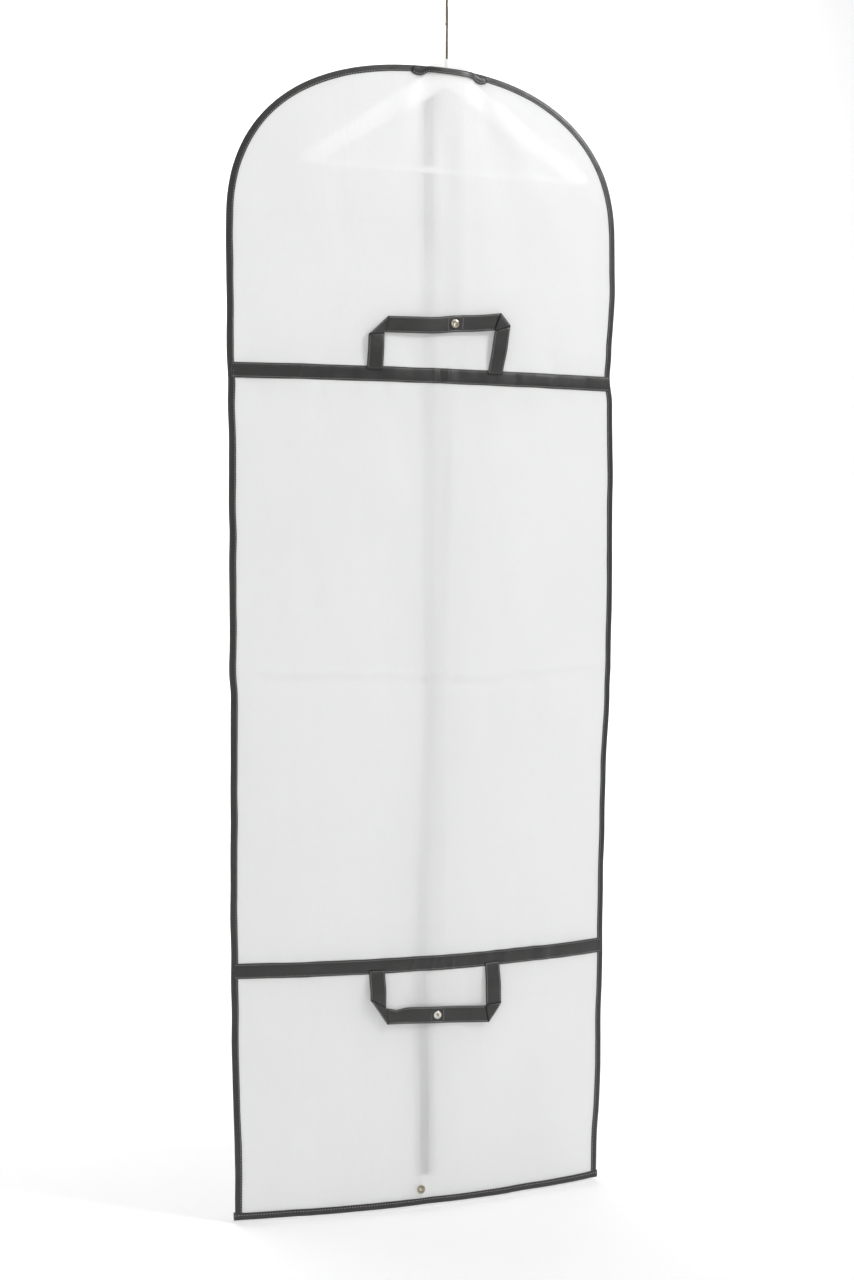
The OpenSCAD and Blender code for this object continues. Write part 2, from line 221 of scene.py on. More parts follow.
def fabric(name, tint, alpha, glow, low_alpha=None):
    """Soft translucent film cloth: a fine embossed weave, faint mottling, a little sheen; light passes through it."""
    m, nt, p, out = new_mat(name)
    L = nt.links.new
    obj = mapping(nt)
    mott = node(nt, "ShaderNodeTexNoise", Scale=9.0, Detail=4.0, Roughness=0.6)
    L(mapping(nt, (1.0, 1.0, 0.35)), mott.inputs["Vector"])
    fine = node(nt, "ShaderNodeTexNoise", Scale=420.0, Detail=3.0, Roughness=0.7)
    L(obj, fine.inputs["Vector"])
    col = ramp(nt, mott.outputs["Fac"], [(0.25, tuple(c * 0.975 for c in tint)), (0.75, tint)])
    fcol = ramp(nt, fine.outputs["Fac"], [(0.3, g3(0.965)), (0.7, g3(1.0))])
    mul = node(nt, "ShaderNodeMix", data_type="RGBA", blend_type="MULTIPLY")
    mul.inputs[0].default_value = 1.0
    L(col.outputs[0], mul.inputs[6]); L(fcol.outputs[0], mul.inputs[7])
    L(mul.outputs[2], p.inputs["Base Color"])
    # fine embossed weave, as two crossed sets of ridges
    wa = node(nt, "ShaderNodeTexWave", wave_type="BANDS", bands_direction="X", Scale=260.0, Distortion=0.6)
    wb = node(nt, "ShaderNodeTexWave", wave_type="BANDS", bands_direction="Z", Scale=260.0, Distortion=0.6)
    L(obj, wa.inputs["Vector"]); L(obj, wb.inputs["Vector"])
    mx = node(nt, "ShaderNodeMath", operation="MULTIPLY")
    L(wa.outputs["Fac"], mx.inputs[0]); L(wb.outputs["Fac"], mx.inputs[1])
    crease = node(nt, "ShaderNodeTexNoise", Scale=14.0, Detail=5.0, Roughness=0.62, Distortion=0.8)
    L(mapping(nt, (1.0, 1.0, 0.5)), crease.inputs["Vector"])
    b1 = bump(nt, mx.outputs[0], 0.25, 0.00012)
    b2 = bump(nt, crease.outputs["Fac"], 0.35, 0.0035, b1.outputs[0])
    L(b2.outputs[0], p.inputs["Normal"])
    rr = ramp(nt, mott.outputs["Fac"], [(0.3, g3(0.44)), (0.7, g3(0.56))])
    L(rr.outputs[0], p.inputs["Roughness"])
    p.inputs["Sheen Weight"].default_value = 0.12
    p.inputs["Specular IOR Level"].default_value = 0.35
    tr = node(nt, "ShaderNodeBsdfTranslucent")
    tr.inputs["Color"].default_value = (*[c * 0.98 for c in tint], 1)
    L(b2.outputs[0], tr.inputs["Normal"])
    mix = node(nt, "ShaderNodeMixShader")
    mix.inputs[0].default_value = glow
    L(p.outputs[0], mix.inputs[1]); L(tr.outputs[0], mix.inputs[2])
    clear = node(nt, "ShaderNodeBsdfTransparent")
    mix2 = node(nt, "ShaderNodeMixShader")
    # slightly uneven thickness, so some patches let more through
    ar = ramp(nt, mott.outputs["Fac"], [(0.3, g3(1 - alpha - 0.015)), (0.7, g3(1 - alpha + 0.015))])
    if low_alpha is None:
        L(ar.outputs[0], mix2.inputs[0])
    else:
        # where the two layers lie on each other, below the lower band, more shows through
        sep = nt.nodes.new("ShaderNodeSeparateXYZ")
        L(obj, sep.inputs[0])
        rng = node(nt, "ShaderNodeMapRange")
        for q, val in ((1, Z_F3 + 0.04), (2, Z_F3 - 0.05), (3, 0.0), (4, alpha - low_alpha)):
            rng.inputs[q].default_value = val
        L(sep.outputs[2], rng.inputs[0])
        # and where it lies on the hanger
        top = node(nt, "ShaderNodeMapRange")
        for q, val in ((1, Z_TOP - 0.31), (2, Z_TOP - 0.23), (3, 0.0), (4, 0.08)):
            top.inputs[q].default_value = val
        L(sep.outputs[2], top.inputs[0])
        both = node(nt, "ShaderNodeMath", operation="ADD")
        L(rng.outputs[0], both.inputs[0]); L(top.outputs[0], both.inputs[1])
        add = node(nt, "ShaderNodeMath", operation="ADD")
        L(ar.outputs[0], add.inputs[0]); L(both.outputs[0], add.inputs[1])
        L(add.outputs[0], mix2.inputs[0])
    L(mix.outputs[0], mix2.inputs[1]); L(clear.outputs[0], mix2.inputs[2])
    L(mix2.outputs[0], out.inputs[0])
    return m

def leather(name, base=(0.0135, 0.0128, 0.0125), rough=0.40):
    """Black leather cloth: pebbled grain, fine creases, satin top coat, slight wear on high spots."""
    m, nt, p, out = new_mat(name)
    L = nt.links.new
    obj = mapping(nt)
    vor = node(nt, "ShaderNodeTexVoronoi", feature="SMOOTH_F1", Scale=900.0)
    vor.inputs["Smoothness"].default_value = 0.6
    warp = node(nt, "ShaderNodeTexNoise", Scale=300.0, Detail=2.0)
    L(obj, warp.inputs["Vector"])
    addv = node(nt, "ShaderNodeMix", data_type="RGBA", blend_type="LINEAR_LIGHT")
    addv.inputs[0].default_value = 0.004
    L(obj, addv.inputs[6]); L(warp.outputs["Color"], addv.inputs[7])
    L(addv.outputs[2], vor.inputs["Vector"])
    wr = node(nt, "ShaderNodeTexNoise", Scale=120.0, Detail=6.0, Roughness=0.65, Distortion=1.2)
    L(obj, wr.inputs["Vector"])
    big = node(nt, "ShaderNodeTexNoise", Scale=16.0, Detail=3.0)
    L(obj, big.inputs["Vector"])
    b1 = bump(nt, vor.outputs["Distance"], 0.5, 0.00022)
    b2 = bump(nt, wr.outputs["Fac"], 0.4, 0.0006, b1.outputs[0])
    L(b2.outputs[0], p.inputs["Normal"])
    c = ramp(nt, vor.outputs["Distance"], [(0.0, tuple(x * 1.9 for x in base)), (0.55, base)])
    c2 = ramp(nt, big.outputs["Fac"], [(0.3, g3(0.85)), (0.75, g3(1.35))])
    mul = node(nt, "ShaderNodeMix", data_type="RGBA", blend_type="MULTIPLY")
    mul.inputs[0].default_value = 1.0
    L(c.outputs[0], mul.inputs[6]); L(c2.outputs[0], mul.inputs[7])
    L(mul.outputs[2], p.inputs["Base Color"])
    rr = ramp(nt, wr.outputs["Fac"], [(0.3, g3(rough - 0.07)), (0.7, g3(rough + 0.12))])
    L(rr.outputs[0], p.inputs["Roughness"])
    p.inputs["Specular IOR Level"].default_value = 0.5
    p.inputs["Coat Weight"].default_value = 0.24
    p.inputs["Coat Roughness"].default_value = 0.28
    return m

def thread_painted_highlight_mat():
    m, nt, p, out = new_mat("stitch_thread_painted_highlight")
    tw = node(nt, "ShaderNodeTexWave", wave_type="BANDS", bands_direction="DIAGONAL", Scale=900.0)
    nt.links.new(mapping(nt), tw.inputs["Vector"])
    # the thread is black; its colour is raised to grey as a painted highlight standing in for the glints its stitches
    # catch. The diagonal bands are its twist.
    c = ramp(nt, tw.outputs["Fac"], [(0.2, (0.14, 0.137, 0.13)), (0.8, (0.36, 0.35, 0.335))])
    nt.links.new(c.outputs[0], p.inputs["Base Color"])
    b = bump(nt, tw.outputs["Fac"], 0.5, 0.0001)
    nt.links.new(b.outputs[0], p.inputs["Normal"])
    p.inputs["Roughness"].default_value = 0.5
    p.inputs["Sheen Weight"].default_value = 0.3
    return m

def metal(name, base=(0.80, 0.775, 0.73), rough=0.2):
    """Nickel plate: fine scratches, faint tarnish in patches."""
    m, nt, p, out = new_mat(name)
    L = nt.links.new
    n1 = node(nt, "ShaderNodeTexNoise", Scale=700.0, Detail=4.0, Roughness=0.6)
    L(mapping(nt, (1, 1, 0.15)), n1.inputs["Vector"])
    n2 = node(nt, "ShaderNodeTexNoise", Scale=160.0, Detail=3.0)
    L(mapping(nt), n2.inputs["Vector"])
    c = ramp(nt, n2.outputs["Fac"], [(0.3, tuple(x * 0.86 for x in base)), (0.62, base)])
    L(c.outputs[0], p.inputs["Base Color"])
    r = ramp(nt, n1.outputs["Fac"], [(0.3, g3(rough - 0.05)), (0.75, g3(rough + 0.14))])
    L(r.outputs[0], p.inputs["Roughness"])
    b = bump(nt, n1.outputs["Fac"], 0.12, 0.0001)
    L(b.outputs[0], p.inputs["Normal"])
    p.inputs["Metallic"].default_value = 1.0
    return m

def plastic():
    """White moulded plastic with a faint orange-peel surface."""
    m, nt, p, out = new_mat("hanger_white_plastic")
    L = nt.links.new
    n = node(nt, "ShaderNodeTexNoise", Scale=240.0, Detail=3.0)
    L(mapping(nt), n.inputs["Vector"])
    big = node(nt, "ShaderNodeTexNoise", Scale=14.0, Detail=2.0)
    L(mapping(nt), big.inputs["Vector"])
    c = ramp(nt, big.outputs["Fac"], [(0.3, (0.93, 0.93, 0.925)), (0.7, (0.97, 0.97, 0.967))])
    L(c.outputs[0], p.inputs["Base Color"])
    b = bump(nt, n.outputs["Fac"], 0.15, 0.0003)
    L(b.outputs[0], p.inputs["Normal"])
    r = ramp(nt, n.outputs["Fac"], [(0.3, g3(0.26)), (0.7, g3(0.36))])
    L(r.outputs[0], p.inputs["Roughness"])
    # a faint glow below the neck, for the light that the cloth round it scatters on to it
    sep = nt.nodes.new("ShaderNodeSeparateXYZ")
    L(mapping(nt), sep.inputs[0])
    rng = node(nt, "ShaderNodeMapRange")
    for q, val in ((1, Z_TOP - 0.006), (2, Z_TOP - 0.022), (3, 0.0), (4, 0.14)):
        rng.inputs[q].default_value = val
    L(sep.outputs[2], rng.inputs[0])
    p.inputs["Emission Color"].default_value = (1, 1, 1, 1)
    L(rng.outputs[0], p.inputs["Emission Strength"])
    return m

def tape_mat():
    """Black woven zip tape: herringbone ribs."""
    m, nt, p, out = new_mat("zip_tape_weave")
    L = nt.links.new
    a = node(nt, "ShaderNodeTexWave", wave_type="BANDS", bands_direction="DIAGONAL", Scale=330.0, Distortion=0.4)
    L(mapping(nt), a.inputs["Vector"])
    b_ = node(nt, "ShaderNodeTexWave", wave_type="BANDS", bands_direction="Z", Scale=520.0)
    L(mapping(nt), b_.inputs["Vector"])
    mx = node(nt, "ShaderNodeMath", operation="MULTIPLY")
    L(a.outputs["Fac"], mx.inputs[0]); L(b_.outputs["Fac"], mx.inputs[1])
    c = ramp(nt, mx.outputs[0], [(0.1, (0.012, 0.012, 0.013)), (0.8, (0.05, 0.05, 0.053))])
    L(c.outputs[0], p.inputs["Base Color"])
    b = bump(nt, mx.outputs[0], 0.6, 0.0003)
    L(b.outputs[0], p.inputs["Normal"])
    p.inputs["Roughness"].default_value = 0.78
    p.inputs["Sheen Weight"].default_value = 0.25
    return m

def coil_mat():
    m, nt, p, out = new_mat("zip_coil_nylon")
    n = node(nt, "ShaderNodeTexNoise", Scale=500.0, Detail=2.0)
    nt.links.new(mapping(nt), n.inputs["Vector"])
    c = ramp(nt, n.outputs["Fac"], [(0.3, (0.012, 0.012, 0.012)), (0.7, (0.03, 0.03, 0.031))])
    nt.links.new(c.outputs[0], p.inputs["Base Color"])
    r = ramp(nt, n.outputs["Fac"], [(0.3, g3(0.3)), (0.7, g3(0.45))])
    nt.links.new(r.outputs[0], p.inputs["Roughness"])
    return m

M_FRONT = fabric("cloth_front_film", (0.925, 0.932, 0.926), 0.90, 0.33, 0.78)
M_BACK = fabric("cloth_back_film", (0.850, 0.855, 0.852), 0.955, 0.13)
M_LEATHER = leather("binding_leather_cloth")
M_STRAP = leather("handle_leather_cloth", (0.0150, 0.0142, 0.0138), 0.38)
# grey stitch colour: painted highlight on black thread
M_THREAD_PAINTED_HIGHLIGHT = thread_painted_highlight_mat()
M_NICKEL = metal("nickel_plate")
M_HOOK = metal("hook_steel", (0.20, 0.175, 0.135), 0.34)
M_SOCKET = metal("snap_nickel", (0.56, 0.51, 0.42), 0.26)
# brownish dark nickel: antique colour, and on the eyelet partly painted shade for its shadowed bore
M_AGED = metal("aged_nickel", (0.36, 0.31, 0.23), 0.30)
M_PLASTIC = plastic()
M_TAPE = tape_mat()
M_COIL = coil_mat()

# ------------------------------------------------------------------ the bag's outline and surfaces
def half(z, side):
    """Distance from the centre line to the outer edge, on the left (-1) or right (1), below the arch."""
    left = curve(z, [(0.0, 0.3055), (0.42, 0.3065), (0.47, 0.3045), (0.60, 0.3025), (0.83, 0.3010), (0.868, 0.3018), (0.90, 0.3000), (1.20, 0.2985), (1.30, 0.2975), (1.642, 0.2945)])
    right = curve(z, [(0.0, 0.2960), (0.30, 0.2945), (0.40, 0.2890), (0.437, 0.2862), (0.475, 0.2905), (0.60, 0.2925), (0.78, 0.2945), (0.868, 0.2930), (0.90, 0.2920), (1.02, 0.2865), (1.30, 0.2850), (1.42, 0.2820), (1.642, 0.2715)])
    wob = 0.0008 * noise2(0 * np.asarray(z), z, 1, 0.045, 11 if side < 0 else 12)
    return (left if side < 0 else right) + wob

def edge_y(z):
    """Depth of the side seams."""
    return curve(z, [(0.0, 0.0), (0.2, -0.002), (0.435, -0.004), (0.868, 0.005), (1.30, 0.014), (1.642, 0.007)])

def rho(x, z, inset=BIND):
    """0 at the centre line, 1 at the inner edge of the binding."""
    xr = np.asarray(x, float) - CX
    h = np.where(xr < 0, half(z, -1), half(z, 1)) - inset
    a = np.abs(xr) / h
    t = np.clip((np.asarray(z, float) - Z_A) / (ARCH_B - inset), 0, 2)
    return np.clip(np.power(a ** PW + t ** PW, 1 / PW), 0, 1)

def neck_open(x, z):
    m = (NECK[0] + NECK[1]) / 2
    return np.exp(-np.abs((np.asarray(x) - m) / 0.037) ** 4) * gauss(Z_TOP - np.asarray(z), 0.055)

def zip_x(z):
    """The zip hangs askew below the middle fold."""
    return CX - 0.018 * smooth(Z_F2 - 0.02 - np.asarray(z, float), 0.0, 0.38)

def wrinkle(x, z, r, seed):
    """Soft relief of hung film cloth, in metres, fading out at the binding."""
    calm = 1 - r ** 8
    w = 0.0016 * noise2(x, z, 0.085, 0.34, seed) + 0.0009 * noise2(x + 0.15 * z, z, 0.036, 0.16, seed + 1)
    w = w + 0.0005 * noise2(x - 0.2 * z, z, 0.018, 0.06, seed + 2)
    return w * calm

def folds_front(x, z, r):
    """The folds that the photo shows: from the neck's ends, along the bands, at the middle crease."""
    w = np.zeros(np.broadcast(x, z).shape)
    d = Z_TOP - z
    for (x0, sx, amp, wid, reach) in ((NECK[0] - 0.006, -0.42, 0.0050, 0.011, 0.16), (NECK[0] + 0.004, -0.16, -0.0026, 0.009, 0.12),
                                      (NECK[1] + 0.006, 0.50, 0.0052, 0.012, 0.20), (NECK[1] - 0.004, 0.20, -0.0030, 0.010, 0.14),
                                      (NECK[1] + 0.012, 1.05, 0.0030, 0.010, 0.12), (NECK[0] - 0.012, -1.0, 0.0024, 0.009, 0.10)):
        line = x - (x0 + sx * d)
        w = w - 1.15 * amp * gauss(line, wid + 0.08 * d) * np.exp(-d / (reach * 0.65)) * smooth(d, 0.002, 0.012)
    # the crease across the middle, where the bag was folded for packing
    c = Z_F2 + 0.012 * noise2(x, 0 * z, 0.16, 1, 31) + 0.004 * noise2(x, 0 * z, 0.03, 1, 32)
    w = w - 0.0016 * gauss(z - c, 0.0045) + 0.0010 * gauss(z - c + 0.013, 0.010)
    # gathers above and below the two bands
    for zb, s in ((Z_F1, 41), (Z_F1 - 0.022, 42), (Z_F3 + 0.022, 43), (Z_F3, 44)):
        w = w + 0.0011 * noise2(x, z, 0.016, 0.09, s) * gauss(z - zb, 0.022)
    # a soft hanging fold down the middle
    mid = CX + 0.012 + 0.02 * np.sin((z - Z_F1) * 2.2)
    lower = smooth(Z_F1 - z, 0.0, 0.15) * (1 - smooth(Z_F1 - z, 0.75, 0.93))
    w = w - 0.0024 * gauss(x - mid - 0.016, 0.009) * lower + 0.0020 * gauss(x - mid + 0.010, 0.016) * lower
    top = smooth(d, 0.03, 0.12) * (1 - smooth(d, 0.33, 0.43))
    w = w - 0.0020 * gauss(x - (CX + 0.040), 0.010) * top + 0.0018 * gauss(x - (CX + 0.014), 0.014) * top
    return w * (1 - r ** 10)

def over_edge(x, z):
    """0 up to the binding's inner edge, 1 at its outer edge."""
    xr = np.asarray(x, float) - CX
    h = np.where(xr < 0, half(z, -1), half(z, 1)) - BIND
    t = np.clip((np.asarray(z, float) - Z_A) / (ARCH_B - BIND), 0, 2)
    return np.clip((np.power((np.abs(xr) / h) ** PW + t ** PW, 1 / PW) - 1) / 0.034, 0, 1)

def raw_front(x, z):
    r = rho(x, z)
    e = edge_y(z) - 0.0006
    y = e + (RIDGE - e) * (1 - r ** 2.0) - 0.0085 * neck_open(x, z)
    return y + wrinkle(x, z, r, 3) + folds_front(x, z, r)

def raw_back(x, z):
    r = rho(x, z)
    e = edge_y(z) + 0.0006
    c = curve(z, [(0.0, 0.0105), (0.90, 0.0105), (1.30, -0.0060), (1.50, -0.0172), (1.642, -0.0176)])
    p = curve(z, [(0.0, 6.0), (0.9, 5.0), (1.3, 2.6), (1.642, 2.0)])
    y = e + (c - e) * (1 - r ** p) + 0.0085 * neck_open(x, z) * smooth(Z_TOP - z, -0.01, 0.03)
    still = gauss(x - zip_x(z), 0.022)
    y = y + (-wrinkle(x, z, r, 61) * 1.3 - 0.0016 * gauss(z - Z_F2, 0.006)) * (1 - still) * (1 - r ** 10)
    return y * (1 - still) + np.where(z > Z_F2 - 0.03, 0.0105, c) * still

def joined(x, z):
    """1 where the two layers are sewn together along the bottom edge."""
    return 1 - smooth(z - Z_B, 0.007, 0.019)

def y_front(x, z):
    x, z = np.asarray(x, float), np.asarray(z, float)
    y = raw_front(x, z)
    k = joined(x, z)
    y = y * (1 - k) + ((raw_front(x, z) + raw_back(x, z)) / 2 - 0.0007) * k
    # flat and still where the eyelet clamps it
    k = gauss(np.hypot(x - EYE.x, z - EYE.z), 0.013) * smooth(z - Z_B, 0.007, 0.016)
    y = y * (1 - k) + RIDGE * k
    return y + TILT * over_edge(x, z)

def y_back(x, z):
    x, z = np.asarray(x, float), np.asarray(z, float)
    y = raw_back(x, z)
    k = joined(x, z)
    y = y * (1 - k) + ((raw_front(x, z) + raw_back(x, z)) / 2 + 0.0007) * k
    k = gauss(np.hypot(x - EYE.x, z - EYE.z), 0.013) * smooth(z - Z_B, 0.007, 0.016)
    y = y * (1 - k) + (-0.0176) * k + TILT * over_edge(x, z)
    # always behind the front layer
    return np.maximum(y, y_front(x, z) + 0.0012)

SHEET_IN = 0.003                                  # how far the cloth's edge sits inside the binding
def sheet_grid(zlow, ztop, s0, s1, nc, nr, arch):
    """x and z of a grid: s runs across from -1 to 1, rows run up; the arch bends the top row."""
    s = np.sin(np.linspace(math.asin(s0), math.asin(s1), nc)) if arch else np.linspace(s0, s1, nc)
    t = np.linspace(0, 1, nr)
    S, T = np.meshgrid(s, t)
    if arch:
        b = ARCH_B - SHEET_IN
        ztopc = Z_A + b * np.power(np.clip(1 - np.abs(S) ** PW, 0, 1), 1 / PW)
        Z = zlow + (ztopc - zlow) * T
    else:
        Z = zlow + (ztop - zlow) * T
    H = np.where(S < 0, half(Z, -1), half(Z, 1)) - SHEET_IN
    X = CX + S * H
    if s0 > -0.5 or s1 < 0.5:
        # a back half: its inner edge follows the zip, and meets the other half below it
        inner = 1 - np.abs(S)
        X = X + (zip_x(Z) - CX) * inner ** 2 - np.sign(S) * 0.0072 * (1 - smooth(Z, ZIP_END - 0.006, ZIP_END + 0.004)) * inner ** 8
    return X, Z

def cut_round(ob, centre, radius, snap):
    """Opens a round hole in a sheet round the eyelet and draws its rim in to a circle."""
    bm = bmesh.new()
    bm.from_mesh(ob.data)
    gone = [f for f in bm.faces if math.hypot(f.calc_center_median().x - centre.x, f.calc_center_median().z - centre.z) < radius]
    if gone:
        bmesh.ops.delete(bm, geom=gone, context="FACES")
        for v in bm.verts:
            d = math.hypot(v.co.x - centre.x, v.co.z - centre.z)
            if d < radius * 2.2 and v.is_boundary:
                k = snap / max(d, 1e-6)
                v.co.x = centre.x + (v.co.x - centre.x) * k
                v.co.z = centre.z + (v.co.z - centre.z) * k
    bm.to_mesh(ob.data)
    bm.free()

# seams between the sheets lie behind the two bands, so nothing shows where one ends
SEAM1, SEAM2 = Z_F1 - 0.011, Z_F3 + 0.011
STEP = 0.0050
def make_sheet(name, zlow, ztop, s0, s1, nc, nr, arch, fn, mat, flip):
    X, Z = sheet_grid(zlow, ztop, s0, s1, nc, nr, arch)
    b = Build()
    Y = fn(X, Z)
    b.add(np.stack([X, Y, Z], -1), grid_faces(nr, nc, flip))
    return b.make(name, [mat])

def bend(ob):
    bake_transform(ob)

sheets = {}
for part, zl, zt, arch, nr in (("top", SEAM1, Z_TOP, True, 92), ("middle", SEAM2, SEAM1, False, 172), ("bottom", Z_B + 0.003, SEAM2, False, 74)):
    sheets["front", part] = make_sheet("cloth_front_" + part, zl, zt, -1, 1, 121, nr, arch, y_front, M_FRONT, False)
    gap = 0.007 / HW
    for side in ("left", "right"):
        a, b_ = (-1, -gap) if side == "left" else (gap, 1)
        sheets[side, part] = make_sheet("cloth_back_%s_%s" % (part, side), zl, zt, a, b_, 61, nr, arch, y_back, M_BACK, True)


cut_round(sheets["front", "bottom"], EYE, 0.0046, 0.0044)
cut_round(sheets["left", "bottom"], EYE, 0.0046, 0.0044)

NODES_OF = {("front", "top"): ("front_panel_top",), ("front", "middle"): ("front_panel_upper_mid", "front_panel_lower_mid"), ("front", "bottom"): ("front_panel_bottom",)}
for side in ("left", "right"):
    NODES_OF[side, "top"] = ("back_panel_top_" + side,)
    NODES_OF[side, "middle"] = ("back_panel_upper_mid_" + side, "back_panel_lower_mid_" + side)
    NODES_OF[side, "bottom"] = ("back_panel_bottom_" + side,)

def cut_size(kind, part):
    """Width, length and area of the flat cut, from the CAD's outline. It isn't read off the finished mesh."""
    z1, z0 = {"top": (Z_TOP, SEAM1), "middle": (SEAM1, SEAM2), "bottom": (SEAM2, Z_B)}[part]
    w = 2 * HW if kind == "front" else HW - 0.007
    if part != "top":
        return w, z1 - z0, w * (z1 - z0)
    x = np.linspace(0, 1, 400)
    arch = float(np.mean(np.power(1 - x ** PW, 1 / PW))) * ARCH_B
    return w, z1 - z0, w * (Z_A - z0 + arch)

# ------------------------------------------------------------------ bindings: a strip folded over the edges and stitched through
# closed cross-section, as (distance in from the outer edge, depth), for a strip 9.8 mm wide and 2.9 mm thick
FOLD = [(0.0098, -0.0007), (0.0095, -0.00125), (0.0088, -0.0014), (0.0080, -0.00122), (0.0072, -0.0014), (0.0045, -0.0015), (0.0022, -0.0016), (0.0008, -0.00125), (0.0001, -0.0005),
        (0.0001, 0.0005), (0.0008, 0.00125), (0.0022, 0.0016), (0.0045, 0.0015), (0.0072, 0.0014), (0.0080, 0.00122), (0.0088, 0.0014), (0.0095, 0.00125), (0.0098, 0.0007)]

def inward_of(path):
    t = np.gradient(path, axis=0)
    n = np.stack([t[:, 2], np.zeros(len(path)), -t[:, 0]], -1)
    return n / np.linalg.norm(n, axis=1)[:, None]

def stitch(b, a, c, up, mat=1, r=0.00042, lift=0.00012):
    """One stitch from a to c: a thread that dips into the strip at both ends."""
    a, c, up = Vector(a), Vector(c), Vector(up).normalized()
    d = (c - a)
    side = d.cross(up).normalized()
    verts, rings = [], ((0.0, -0.00055, 0.6), (0.16, lift, 1.0), (0.84, lift, 1.0), (1.0, -0.00055, 0.6))
    for t, h, k in rings:
        m = a + d * t + up * h
        for q in range(6):
            w = q * math.pi / 3
            verts.append(m + side * (math.cos(w) * r * k) + up * (math.sin(w) * r * k * 0.8))
    b.add([tuple(v) for v in verts], tube_faces(4, 6), mat)

RING = np.array([[math.cos(q * math.pi / 3), math.sin(q * math.pi / 3)] for q in range(6)])
STITCH_RINGS = ((0.0, -0.00055, 0.6), (0.16, 0.00012, 1.0), (0.84, 0.00012, 1.0), (1.0, -0.00055, 0.6))
STITCH_FACES = np.array([f for f in tube_faces(4, 6) if len(f) == 4])
def stitch_row(b, pts, ups, pitch=0.0040, length=0.0029, mat=1):
    """A run of stitches along a line of points."""
    pts, ups = np.asarray(pts, float), np.asarray(ups, float)
    seg = np.linalg.norm(np.diff(pts, axis=0), axis=1)
    s = np.concatenate([[0], np.cumsum(seg)])
    n = int(s[-1] / pitch)
    if n < 1:
        return
    starts = (s[-1] - n * pitch) / 2 + np.arange(n) * pitch + (pitch - length) / 2
    def at(q): return np.stack([np.interp(q, s, pts[:, k]) for k in range(3)], -1)
    A, C = at(starts), at(starts + length)
    U = np.stack([np.interp(starts, s, ups[:, k]) for k in range(3)], -1)
    U = U / np.linalg.norm(U, axis=1)[:, None]
    D = C - A
    S = np.cross(D, U)
    S = S / np.linalg.norm(S, axis=1)[:, None]
    V = np.zeros((n, 4, 6, 3))
    for i, (t, h, k) in enumerate(STITCH_RINGS):
        m = A + D * t + U * h
        V[:, i] = m[:, None] + S[:, None] * (RING[:, 0] * 0.00042 * k)[None, :, None] + U[:, None] * (RING[:, 1] * 0.00034 * k)[None, :, None]
    F = (STITCH_FACES[None] + 24 * np.arange(n)[:, None, None]).reshape(-1, 4)
    b.add(V, F.tolist(), mat)

def strip(name, path, wide=None, thick=None, seed=5, back=True, profile=FOLD, inward=None, row=0.0080):
    path = np.asarray(path, float)
    n = len(path)
    inn = inward_of(path) if inward is None else inward
    wide = np.ones(n) if wide is None else wide
    thick = np.ones(n) if thick is None else thick
    s = np.concatenate([[0], np.cumsum(np.linalg.norm(np.diff(path, axis=0), axis=1))])
    prof = np.array(profile)
    m = len(prof)
    rel = 1 + 0.10 * noise2(s, 0 * s, 0.012, 1, seed) + 0.06 * noise2(s, 0 * s, 0.005, 1, seed + 1)
    edge = 1 + 0.035 * noise2(s, 0 * s, 0.03, 1, seed + 2)
    V = np.zeros((n, m, 3))
    for j, (u, v) in enumerate(prof):
        V[:, j] = path + inn * (u * wide * edge)[:, None] + np.array([0, 1, 0]) * (v * thick * rel)[:, None]
    b = Build()
    b.add(V, tube_faces(n, m))
    for k in ((-1, 1) if back else (-1,)):
        line = path + inn * (row * wide)[:, None] + np.array([0, 1, 0]) * (k * 0.00146 * thick * rel)[:, None]
        stitch_row(b, line, np.tile([0, float(k), 0], (n, 1)))
    ob = b.make(name, [M_LEATHER, M_THREAD_PAINTED_HIGHLIGHT])
    return outward(ob)

def side_path(side, z1, z2, step=0.004):
    z = np.linspace(z1, z2, max(4, int(abs(z2 - z1) / step)))
    return np.stack([CX + side * half(z, side), edge_y(z) + TILT, z], -1)

def arch_path(s0, s1, n):
    a = np.linspace(math.asin(s0), math.asin(s1), n)
    s = np.sin(a)
    z = Z_A + ARCH_B * np.power(np.clip(1 - np.abs(s) ** PW, 0, 1), 1 / PW)
    h = np.where(s < 0, half(z, -1), half(z, 1))
    return np.stack([CX + s * h, edge_y(z) + TILT, z], -1)

def even(path, step):
    path = np.asarray(path, float)
    s = np.concatenate([[0], np.cumsum(np.linalg.norm(np.diff(path, axis=0), axis=1))])
    q = np.linspace(0, s[-1], max(3, int(s[-1] / step)))
    return np.stack([np.interp(q, s, path[:, k]) for k in range(3)], -1)

def turn_in(path, side):
    """Inward direction for a path that runs up on the left or over the arch to the right."""
    inn = inward_of(path)
    c = np.array([CX, 0, Z_A - 0.15])
    flip = np.sign(np.sum(inn * (c - path), axis=1))
    inn = inn * flip[:, None]
    inn[:, 1] = -TILT / BIND
    return inn

bindings = {}
H0 = 0.296
sl, sr = (NECK[0] - CX) / H0, (NECK[1] - CX) / H0
left_leg = side_path(-1, SEAM1, Z_A - 0.002)
right_leg = side_path(1, Z_A - 0.002, SEAM1)
left_arch = even(np.vstack([left_leg, arch_path(-0.99999, sl + 0.012, 260)]), 0.0032)
right_arch = even(np.vstack([arch_path(sr - 0.012, 0.99999, 240), right_leg]), 0.0032)
parts = []
for nm, pth, seed in (("left", left_arch, 5), ("right", right_arch, 8)):
    k = np.arange(len(pth)) / len(pth)
    d = np.linalg.norm(pth - (pth[-1] if nm == "left" else pth[0]), axis=1)
    # the binding is turned in double where it ends at the neck
    wide = 1 + 0.28 * gauss(d - 0.004, 0.007)
    thick = 1 + 1.15 * gauss(d - 0.005, 0.008)
    parts.append(strip("edge_binding_arch_" + nm, pth, wide, thick, seed, inward=turn_in(pth, 0)))
bindings["arch"] = parts
for ob in parts:
    bend(ob)
    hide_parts("arch_binding")

